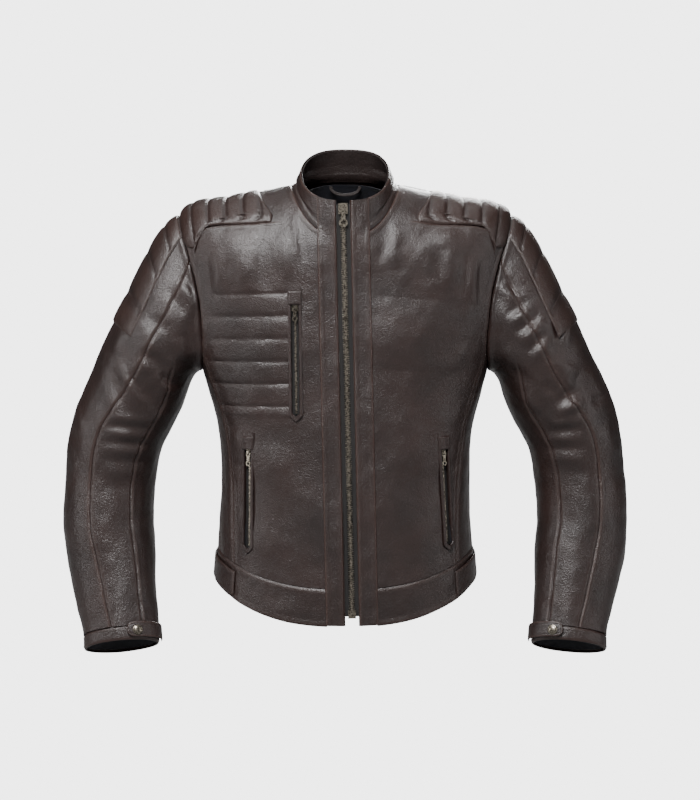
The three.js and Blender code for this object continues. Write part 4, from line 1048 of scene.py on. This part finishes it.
def make_collar():
    """Stand collar: a doubled band from placket to placket, its top edge rolled, the neck seam let in
    with its allowance raised above it."""
    level = np.linspace(NECK_LEVEL, COLLAR_TOP, 44)
    start = PLACKET_OUTER - 1
    u, v = ruled(beside_zip(start, level), 360 + beside_zip(-start, level), level, 230)
    panel = Panel(torso, torso_out, u, v, front_only=False, lift=0.2)
    seam, top = panel.distances["bottom"], panel.distances["top"]
    roll = (1 - smooth(top / 2.2)) ** 2
    panel.height = panel.height - 1.6 * bell(seam, 2.2) + 0.6 * bell(seam - 6, 3) - 1.3 * roll
    panel.rub = np.maximum(panel.rub, 0.8 * bell(top - 1.4, 1.5))
    THREADS.add("jacket", panel, "bottom", 4.0)
    THREADS.add("jacket", panel, "top", 4.0)
    piece = panel.build("collar", MATERIALS["shell"], inner=panel.relief * 0.8 - 2.1 + 0.9 * roll)
    ride(piece, "jacket", "leather", "collar")


def make_collar_facing():
    """Collar facing: a band of dark leather inside the collar, thicker where the neck tape is sewn."""
    level = np.linspace(7.93, 9.93, 30)
    u, v = ruled(beside_zip(18.0, level), 360 + beside_zip(-18.0, level), level, 200)
    facing = Panel(torso, torso_out, u, v, front_only=False)
    outer = facing.relief * 0.8 - 2.5
    band = facing.distances["bottom"]
    tape = -1.3 - 0.7 * smooth((band - 3) / 1.5) * smooth((14 - band) / 1.5)
    piece = add_mesh("collar_lining", *sheet_mesh(facing.points(outer), facing.points(outer + tape)),
                     MATERIALS["trim"])
    ride(piece, "jacket", "leather_trim", "collar_lining")


def strap_panel(surface, out, u, v, side, height, thick, name, body):
    """A doubled strap lying over a form, its edges turned and a groove pressed inside its border."""
    panel = Panel(surface, out, u, v, side, front_only=False)
    edge = nearest_edge(panel.distances)
    panel.height = height + thick - 0.9 * (1 - smooth(edge / 1.8)) ** 2 + 0.25 * smooth(edge / 5)
    panel.height = panel.height - 0.35 * bell(edge - 3.2, 0.9)
    panel.rub = 0.8 * bell(edge - 1.0, 1.1)
    piece = panel.build(name, MATERIALS["shell"], inner=height + 0.25 * (1 - smooth(edge / 1.6)))
    ride(piece, body, "leather_trim", name)
    return panel


SNAP_TURN, SNAP_STATION = -30.0, 8.51  # where a cuff's snap sits on the sleeve


def make_straps(side, name):
    """Waist strap: from its slot in the waistband back along the hip; a tab with a rounded end on the
    cuff, held by its snap."""
    level = lerp(0.12, 0.84, np.linspace(0, 1, 24))
    u, v = ruled(np.full_like(level, 52.8), np.full_like(level, 121.8), level, 84)
    strap = strap_panel(torso, torso_out, u, v, side, 1.9, 1.6, f"waist_strap_{name}", f"strap_{name}")
    for edge in ("bottom", "top", "left"):
        THREADS.add(f"strap_{name}", strap, edge, 3.0)
    t = np.linspace(-1, 1, 26)[:, None]
    turn = np.linspace(-103.6, -14.4, 70)[None, :] + 0 * t
    fall = np.clip((turn + 27.0) / 12.6, 0, 1)
    half = 0.35 * np.sqrt(np.clip(1 - fall ** 2.4, 0.02, None))
    tab = strap_panel(sleeve, sleeve_out, turn, SNAP_STATION + t * half, side, 3.3, 1.7, f"cuff_tab_{name}",
                      f"tab_{name}")
    for edge in ("bottom", "top"):
        THREADS.add(f"tab_{name}", tab, edge, 3.0, trim=4)


def end_caps(rows, columns):
    """Quads that close the first and the last ring of a wrapped grid, in strips across the ring."""
    k = np.arange(columns // 2 - 1)
    strip = np.stack([k, k + 1, columns - 2 - k, columns - 1 - k], -1)
    return np.concatenate([strip[:, ::-1], strip + (rows - 1) * columns])


def add_lathe(name, profile, place, axis, material, steps=40):
    """A turned piece: a profile of radius and height spun round an axis, closed at both ends."""
    profile = np.asarray(profile, float)
    axis = unit(np.asarray(axis, float))
    across = unit(np.cross(axis, [0.0, 0.0, 1.0] if abs(axis[2]) < 0.9 else [1.0, 0.0, 0.0]))
    other = np.cross(axis, across)
    a = np.linspace(0, 2 * np.pi, steps, endpoint=False)
    ring = np.cos(a)[:, None] * across + np.sin(a)[:, None] * other
    points = place + ring[None] * profile[:, 0, None, None] + axis * profile[:, 1, None, None]
    faces = np.concatenate([grid_faces(len(profile), steps, True), end_caps(len(profile), steps)])
    return add_mesh(name, *outwards_first(points.reshape(-1, 3), faces), material, sharp=50)


def make_snap(side, name):
    """Snap cap: a domed nickel cap with a ring pressed round it, on the tab over the cuff's stud."""
    turn, station = np.array(SNAP_TURN), np.array(SNAP_STATION)
    place = mirrored(sleeve(turn, station), side)
    axis = mirrored(sleeve_out(turn, station), side)
    profile = [(0.4, 5.1), (6.9, 5.1), (7.2, 5.5), (7.0, 6.1), (6.2, 6.5), (5.6, 6.4), (5.2, 6.7),
               (3.6, 7.3), (1.8, 7.6), (0.4, 7.7)]
    cap = add_lathe(f"snap_cap_{name}", profile, place, axis, MATERIALS["nickel"])
    ride(cap, f"tab_{name}", "zip_metal", f"snap_cap_{name}")


def tube_along(path, wide, thick, up):
    """A band swept along a path: a rounded rectangle across it, kept square to the up direction."""
    way = unit(np.gradient(path, axis=0))
    side = unit(np.cross(way, up))
    high = np.cross(side, way)
    a = np.linspace(0, 2 * np.pi, 24, endpoint=False) + np.pi / 4
    x, y = power(np.cos(a), 0.35) * wide / 2, power(np.sin(a), 0.35) * thick / 2
    rings = path[:, None] + side[:, None] * x[None, :, None] + high[:, None] * y[None, :, None]
    faces = np.concatenate([grid_faces(len(path), len(a), True), end_caps(len(path), len(a))])
    return outwards_first(rings.reshape(-1, 3), faces)


def make_loop():
    """Hanger loop: a narrow folded band that hangs in a shallow U inside the neck seam, from two
    sewn ends; its line is half of a flattened ellipse, x by the cosine and z by a power of the sine."""
    a = np.linspace(0, np.pi, 60)
    path = np.stack([21 * np.cos(a), 50.4 + 1.0 * np.sin(a), 6.0 - 12.4 * np.sin(a) ** 0.8], -1)
    band = tube_along(path, 4.6, 1.8, np.array([[0.0, -1.0, 0.0]]))
    piece = add_mesh("hanger_loop", *band, MATERIALS["trim"])
    ride(piece, "loop", "leather_trim", "hanger_loop")


# ---- zips ----------------------------------------------------------------------------------------


def teeth_mesh(start, way, out, long, wide, thick, pitch, side, first=0.0):
    """One side's row of zip teeth: chamfered blocks at a pitch, each with its head past the centre."""
    across = unit(np.cross(way, out)) * side
    section = ((-0.55, 0.25), (-0.35, 0.5), (0.75, 0.5), (1.0, 0.25), (1.0, -0.25), (0.75, -0.5),
               (-0.35, -0.5), (-0.55, -0.25))
    block = np.array([
        across * ((x - 0.2) * size + 0.2) * wide + out * y * size * thick + way * along * pitch * 0.52
        for along, size in ((-0.5, 0.82), (-0.3, 1.0), (0.3, 1.0), (0.5, 0.82)) for x, y in section
    ])
    quads = np.concatenate([grid_faces(4, len(section), True), end_caps(4, len(section))])
    _, quads = outwards_first(block, quads)
    places = start + way * np.arange(first, long, pitch)[:, None]
    return (places[:, None] + block[None]).reshape(-1, 3), repeated(quads, len(block), len(places))


def tape_mesh(start, way, out, long, near, far, thick, side, rows=200):
    """Zip tape: a flat woven band beside the chain, with a corded edge where the teeth grip it."""
    across = unit(np.cross(way, out)) * side
    y = np.linspace(0, long, rows)[:, None]
    x = np.linspace(near, far, 16)[None, :]
    half = thick / 2 + 0.5 * bell(x - near, 1.0) + 0.06 * np.sin(y * 2.1)
    middle = start + way * y[..., None] + across * (x + 0 * y)[..., None]
    return sheet_mesh(middle + out * half[..., None], middle - out * half[..., None])


def make_main_zip():
    """Main zip: two tapes and two rows of interlocked teeth down the front."""
    way = unit(ZIP_FOOT - ZIP_TOP)
    out = unit(np.cross([1.0, 0.0, 0.0], way))
    out = out if out[1] < 0 else -out
    start = ZIP_TOP - out * 3.7
    long = np.linalg.norm(ZIP_FOOT - ZIP_TOP)
    for side, name in ((1, "left"), (-1, "right")):
        flip = side if np.cross(way, out)[0] > 0 else -side
        tape = tape_mesh(start + way * 1.0, way, out, long - 4, 1.6, 15.0, 1.0, flip)
        piece = add_mesh(f"main_zip_tape_{name}", *tape, MATERIALS["tape"])
        ride(piece, "jacket", "zip_tape", f"main_zip_tape_{name}")
        first = 0.0 if side > 0 else 1.5  # the right row stands half a pitch lower
        teeth = teeth_mesh(start + way * 18, way, out, long - 30, 4.3, 3.2, 3.0, flip, first)
        piece = add_mesh(f"main_zip_teeth_{name}", *teeth, MATERIALS["brass"], sharp=30)
        ride(piece, "jacket", "zip_metal")


def make_pocket_zips():
    """Pocket zips: tapes and fine teeth in each slot, as long as their welts leave open."""
    axes = {joint["name"]: joint["axis"] for joint in frame["joints"]}
    for pocket in POCKETS:
        line, outs = pocket_line(pocket)
        way = unit(np.array(axes[f"{pocket['body']}_zip_slide"]))
        out = unit(outs.mean(0) - way * (outs.mean(0) @ way))
        start, long = np.array(pocket["slider"]) - way * 15, np.linalg.norm(line[-1] - line[0])
        parts = [tape_mesh(start, way, out, long, 0.9, 6.3, 0.8, s) for s in (1, -1)]
        piece = add_mesh(f"{pocket['name']}_zip_tape", *merged(parts), MATERIALS["tape"])
        ride(piece, "jacket", "zip_tape", f"{pocket['name']}_zip")
        parts = [teeth_mesh(start + way * 3, way, out, long - 6, 2.3, 2.3, 2.4, s, 0.6 + 0.6 * s)
                 for s in (1, -1)]
        piece = add_mesh(f"{pocket['name']}_zip_teeth", *merged(parts), MATERIALS["brass"], sharp=30)
        ride(piece, "jacket", "zip_metal")


GARAGE = 16.0  # height of the leather patch that the slider parks under
GARAGE_HALF = 9.6
WELT_HALF, SLOT_HALF, WELT_PAST = 10.0, 5.2, 8.0
CURVE_ROUND = 210.0  # radius of the torso's curve across a pocket


def make_welt(pocket, line, outs, run, way):
    """Welt: a leather frame round a pocket zip, pointed at its foot and folded over along the slot."""
    long = run[-1]
    y = np.concatenate([np.linspace(-WELT_PAST, 2, 12), np.linspace(2.6, long - 2, 220),
                        np.linspace(long - 1.4, long + WELT_PAST, 14)])
    past = np.maximum(y - long, 0) + np.minimum(y, 0)
    centre = read_line(y, run, line) + way * past[:, None]
    out = unit(read_line(y, run, outs))
    across = unit(np.cross(way, out))
    ends = np.clip(1 - (np.maximum(y - long + 2, 0) / (WELT_PAST + 2.2)) ** 1.6, 0.02, None)
    slot = SLOT_HALF * smooth((long + 1.5 - y) / 6)[:, None] * smooth((y - GARAGE + 3) / 1.5)[:, None]
    outer = (WELT_HALF * ends)[:, None]
    parts = []
    for side in (1, -1):
        x = slot + 0.01 + np.linspace(0, 1, 12)[None, :] * np.maximum(outer - slot, 0.3)
        roll = x - slot
        rise = 2.2 + 0.5 * bell(roll, 2.2) - 1.6 * (1 - smooth(roll / 1.5)) ** 2 * (slot > 1)
        rise = rise - 1.0 * (1 - smooth((outer - x) / 1.4)) ** 2
        place = surface_drop(centre, across, out, x * side)
        parts.append(sheet_mesh(place + out[:, None] * rise[..., None], place + out[:, None] * 0.6))
    name = f"{pocket['name']}_welt"
    ride(add_mesh(name, *merged(parts), MATERIALS["shell"]), "jacket", "leather", name)
    for side in (1, -1):
        x = WELT_HALF * ends - 2.0
        inside = (y > GARAGE - 12) & (y < long + 2) & (x > 2)
        place = surface_drop(centre, across, out, (x * side)[:, None])[:, 0] + out * 2.1
        THREADS.add_line("jacket", place[inside], out[inside])


def make_garage(pocket, line, outs, run, way):
    """Garage: the leather patch over a pocket zip's top end, that the slider parks under; it swells
    over the slider by a bell curve and rolls down at its edges."""
    t, h = np.linspace(-1, 1, 26)[None, :], np.linspace(0, 1, 24)[:, None]
    y = np.linspace(-3.0, GARAGE, 24)
    base = read_line(y, run, line) + way * np.minimum(y, 0)[:, None]
    out = unit(read_line(y, run, outs))
    place = surface_drop(base, unit(np.cross(way, out)), out, t * GARAGE_HALF + 0 * h)
    edge = np.minimum(np.minimum((1 - np.abs(t)) * GARAGE_HALF, h * 19), (1 - h) * 19)
    rise = 3.5 + 0.9 * bell(t * GARAGE_HALF, 5.0) - 1.2 * (1 - smooth(edge / 1.8)) ** 2
    patch = sheet_mesh(place + out[:, None] * rise[..., None], place + out[:, None] * 2.3)
    ride(add_mesh(f"{pocket['name']}_garage", *patch, MATERIALS["shell"]), "jacket", "leather")


def make_welts():
    """The welt and the garage of each pocket."""
    for pocket in POCKETS:
        line, outs = pocket_line(pocket, 220)
        way = unit(line[-1] - line[0])
        run = (line - line[0]) @ way
        make_welt(pocket, line, outs, run, way)
        make_garage(pocket, line, outs, run, way)


def surface_drop(centre, across, out, x):
    """Points beside a line on the torso: out along the tangent by x, dropped by the torso's curve."""
    drop = (x ** 2 / (2 * CURVE_ROUND))[..., None]
    return centre[:, None] + across[:, None] * x[..., None] - out[:, None] * drop


# ---- stitches, materials on the frame's own pieces, stage -----------------------------------------


def make_stitches():
    """Every seam's topstitching: one piece of thread for each body that it rides on."""
    for where, lines in THREADS.lines.items():
        stitches = stitch_mesh(lines, millimetres("pitch"), millimetres("stitch"))
        piece = add_mesh(f"stitches_{where}", *stitches, MATERIALS["thread"], sharp=80)
        if where.startswith("sleeve_"):
            name = where.split("_")[1]
            blend_sleeve(piece, 1 if name == "left" else -1, name, "leather_trim")
        else:
            ride(piece, where, "leather_trim")


FRAME_FINISHES = {
    "nickel": ("slider", "pull", "retainer", "stud"),
    "lining": ("bag",),
}


def finish_frame_pieces():
    """Gives the frame's own metal parts and pocket bags their materials."""
    for piece in list(bpy.data.objects):
        for finish, words in FRAME_FINISHES.items():
            if piece.type == "MESH" and piece.name.split("_")[-1] in words and piece.name in FRAME_NODES:
                piece.data.materials.clear()
                piece.data.materials.append(MATERIALS[finish])


FRAME_NODES = [
    "main_zip_slider", "main_zip_pull", "main_zip_retainer", "snap_stud_left", "snap_stud_right",
    "chest_pocket_slider", "chest_pocket_pull", "hand_pocket_left_slider", "hand_pocket_left_pull",
    "hand_pocket_right_slider", "hand_pocket_right_pull",
    "chest_pocket_bag", "hand_pocket_left_bag", "hand_pocket_right_bag",
]


def add_light(name, place, aim, size, watts):
    """A white soft box, seen by the object and not by the camera."""
    light = bpy.data.lights.new(name, "AREA")
    light.shape = "RECTANGLE"
    light.size, light.size_y = size
    light.energy = watts
    lamp = bpy.data.objects.new(name, light)
    lamp.location = place
    lamp.visible_camera = False
    lamp.rotation_euler = (Vector(aim) - Vector(place)).to_track_quat("-Z", "Y").to_euler()
    bpy.context.scene.collection.objects.link(lamp)
    return lamp


FLOOR_LEVEL, FLOOR_REACH = -672.0, 12000.0
# The paper is lit from behind, so that it shows white and throws little on the leather.
PAPER_GLOW, ROOM_GLOW = 4.2, 0.07
CAMERA_LOOK, CAMERA_AWAY, CAMERA_TILT, CAMERA_LENS = (0.007, 0.0, -0.302), 3.0, 6, 93.1
SOFT_BOXES = (  # place and size in metres, and watts
    ("key light", (-0.5, -2.0, 1.9), (1.3, 0.8), 165),
    ("left light", (-2.3, -1.0, 0.2), (0.5, 1.6), 22),
    ("right light", (2.3, -1.0, 0.2), (0.5, 1.6), 15),
    ("top light", (0.0, 0.7, 2.0), (2.0, 0.8), 14),
    ("back light", (0.5, 2.6, 0.9), (1.4, 0.9), 90),
    ("front light", (0.3, -3.4, 0.5), (1.6, 1.6), 7),
)


def make_stage():
    """A pale floor under a pale surround, soft boxes before and behind, and the camera."""
    paper, tree, shader = new_material("seamless paper", {"Roughness": 0.9, "Base_Color": linear("#8a8a8a")})
    glow = node(tree, "ShaderNodeEmission", Color=(1, 1, 1, 1), Strength=PAPER_GLOW)
    seen = node(tree, "ShaderNodeLightPath").outputs["Is Camera Ray"]
    both = node(tree, "ShaderNodeMixShader", {0: seen, 1: shader.outputs[0], 2: glow.outputs[0]})
    output = next(n for n in tree.nodes if n.type == "OUTPUT_MATERIAL")
    tree.links.new(both.outputs[0], output.inputs["Surface"])
    x = np.linspace(-FLOOR_REACH, FLOOR_REACH, 3)
    grid = np.stack([*np.meshgrid(x, x), np.full((3, 3), FLOOR_LEVEL)], -1)
    add_mesh("floor", grid.reshape(-1, 3), grid_faces(3, 3, False), paper)
    look = CAMERA_LOOK
    for name, place, size, watts in SOFT_BOXES:
        add_light(name, place, look, size, watts)
    world = bpy.data.worlds.new("studio")
    world.use_nodes = True
    tree = world.node_tree
    seen = node(tree, "ShaderNodeLightPath").outputs["Is Camera Ray"]
    strength = node(tree, "ShaderNodeMapRange", {"Value": seen}, To_Min=ROOM_GLOW, To_Max=PAPER_GLOW)
    tree.nodes["Background"].inputs["Color"].default_value = (1, 1, 1, 1)
    tree.links.new(strength.outputs["Result"], tree.nodes["Background"].inputs["Strength"])
    bpy.context.scene.world = world
    lens = bpy.data.cameras.new("camera")
    lens.sensor_fit = "VERTICAL"
    lens.sensor_height = 36
    lens.lens = CAMERA_LENS
    camera = bpy.data.objects.new("camera", lens)
    tilt = np.radians(CAMERA_TILT)
    camera.location = (look[0], look[1] - CAMERA_AWAY * np.cos(tilt), look[2] + CAMERA_AWAY * np.sin(tilt))
    camera.rotation_euler = (Vector(look) - camera.location).to_track_quat("-Z", "Y").to_euler()
    bpy.context.scene.collection.objects.link(camera)
    bpy.context.scene.camera = camera


# ---- the add-on -------------------------------------------------------------------------------------


class JacketFinish(bpy.types.PropertyGroup):
    """The jacket's sizes, and its colours in linear light."""

    leather: bpy.props.FloatProperty(
        name="Leather thickness", description="Thickness of the shell leather",
        default=LEATHER * MM, min=0.8 * MM, max=3 * MM, unit="LENGTH", precision=4)
    pitch: bpy.props.FloatProperty(
        name="Stitch pitch", description="From one stitch to the next",
        default=3.4 * MM, min=2 * MM, max=6 * MM, unit="LENGTH", precision=4)
    stitch: bpy.props.FloatProperty(
        name="Stitch length", description="Length of thread that shows in each stitch",
        default=2.5 * MM, min=1 * MM, max=5 * MM, unit="LENGTH", precision=4)
    body: bpy.props.FloatVectorProperty(
        name="Leather", description="Leather where it lies flat",
        size=4, subtype="COLOR", default=linear("#271916"), min=0, max=1)
    hollow: bpy.props.FloatVectorProperty(
        name="Leather, dark", description="Leather where the dye is deepest",
        size=4, subtype="COLOR", default=linear("#1d1311"), min=0, max=1)
    worn: bpy.props.FloatVectorProperty(
        name="Leather, worn", description="Leather rubbed at its seams and edges",
        size=4, subtype="COLOR", default=linear("#422e27"), min=0, max=1)


class BuildStep:
    """What every building operator shares."""

    bl_options = {"REGISTER", "UNDO"}

    def execute(self, context):
        self.build()
        return {"FINISHED"}


SIDES = ((1, "left"), (-1, "right"))


class JACKET_OT_materials(BuildStep, bpy.types.Operator):
    """Makes the jacket's materials, and gives the frame's metal parts and pocket bags theirs"""

    bl_idname = "jacket.materials"
    bl_label = "Materials"

    def build(self):
        MATERIALS.update(make_materials(settings()))
        finish_frame_pieces()


class JACKET_OT_body(BuildStep, bpy.types.Operator):
    """Builds the fronts, back, side panels and plackets"""

    bl_idname = "jacket.body"
    bl_label = "Body"

    def build(self):
        make_back()
        for side, name in SIDES:
            make_front(side, name)
            make_side(side, name)
            make_neck_strip(side, name)
            make_placket(side, name)


class JACKET_OT_yokes(BuildStep, bpy.types.Operator):
    """Builds the quilted shoulder yokes and sleeve caps"""

    bl_idname = "jacket.yokes"
    bl_label = "Quilted shoulders"

    def build(self):
        for side, name in SIDES:
            make_yoke(side, name)
            make_sleeve_quilt(side, name)


class JACKET_OT_waistband(BuildStep, bpy.types.Operator):
    """Builds the waistband and its straps, and the cuff tabs with their snaps"""

    bl_idname = "jacket.waistband"
    bl_label = "Waistband, straps and tabs"

    def build(self):
        make_waistband(1, "back")
        for side, name in SIDES:
            make_waistband(side, name)
            make_straps(side, name)
            make_snap(side, name)


class JACKET_OT_sleeves(BuildStep, bpy.types.Operator):
    """Builds the sleeves and cuffs"""

    bl_idname = "jacket.sleeves"
    bl_label = "Sleeves"

    def build(self):
        for side, name in SIDES:
            make_sleeve(side, name)
            make_cuff(side, name)


class JACKET_OT_collar(BuildStep, bpy.types.Operator):
    """Builds the collar, its facing and the hanger loop"""

    bl_idname = "jacket.collar"
    bl_label = "Collar"

    def build(self):
        make_collar()
        make_collar_facing()
        make_loop()


class JACKET_OT_linings(BuildStep, bpy.types.Operator):
    """Builds the satin linings of the body and the sleeves"""

    bl_idname = "jacket.linings"
    bl_label = "Linings"

    def build(self):
        make_body_lining()
        for side, name in SIDES:
            make_sleeve_lining(side, name)


class JACKET_OT_zips(BuildStep, bpy.types.Operator):
    """Builds the zips' tapes and teeth and the pockets' welts"""

    bl_idname = "jacket.zips"
    bl_label = "Zips and welts"

    def build(self):
        make_main_zip()
        make_pocket_zips()
        make_welts()


class JACKET_OT_stitches(BuildStep, bpy.types.Operator):
    """Builds the topstitching of every seam"""

    bl_idname = "jacket.stitches"
    bl_label = "Stitching"

    def build(self):
        make_stitches()


class JACKET_OT_stage(BuildStep, bpy.types.Operator):
    """Builds the studio: floor, surround, lights and camera"""

    bl_idname = "jacket.stage"
    bl_label = "Stage"

    def build(self):
        make_stage()


STEPS = (
    JACKET_OT_materials, JACKET_OT_body, JACKET_OT_yokes, JACKET_OT_waistband, JACKET_OT_sleeves,
    JACKET_OT_collar, JACKET_OT_linings, JACKET_OT_zips, JACKET_OT_stitches, JACKET_OT_stage,
)


class JACKET_PT_panel(bpy.types.Panel):
    """The jacket's sizes, colours and building steps, in the sidebar"""

    bl_idname = "JACKET_PT_panel"
    bl_label = "Riding jacket"
    bl_space_type = "VIEW_3D"
    bl_region_type = "UI"
    bl_category = "Jacket"

    def draw(self, context):
        for name in JacketFinish.__annotations__:
            self.layout.prop(context.scene.jacket_finish, name)
        for step in STEPS:
            self.layout.operator(step.bl_idname)


CLASSES = (JacketFinish, *STEPS, JACKET_PT_panel)


def register():
    for each in CLASSES:
        bpy.utils.register_class(each)
    bpy.types.Scene.jacket_finish = bpy.props.PointerProperty(type=JacketFinish)


def unregister():
    del bpy.types.Scene.jacket_finish
    for each in reversed(CLASSES):
        bpy.utils.unregister_class(each)


def main():
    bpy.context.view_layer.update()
    register()
    for step in STEPS:
        group, name = step.bl_idname.split(".")
        getattr(getattr(bpy.ops, group), name)()


if __name__ == "__main__":
    main()
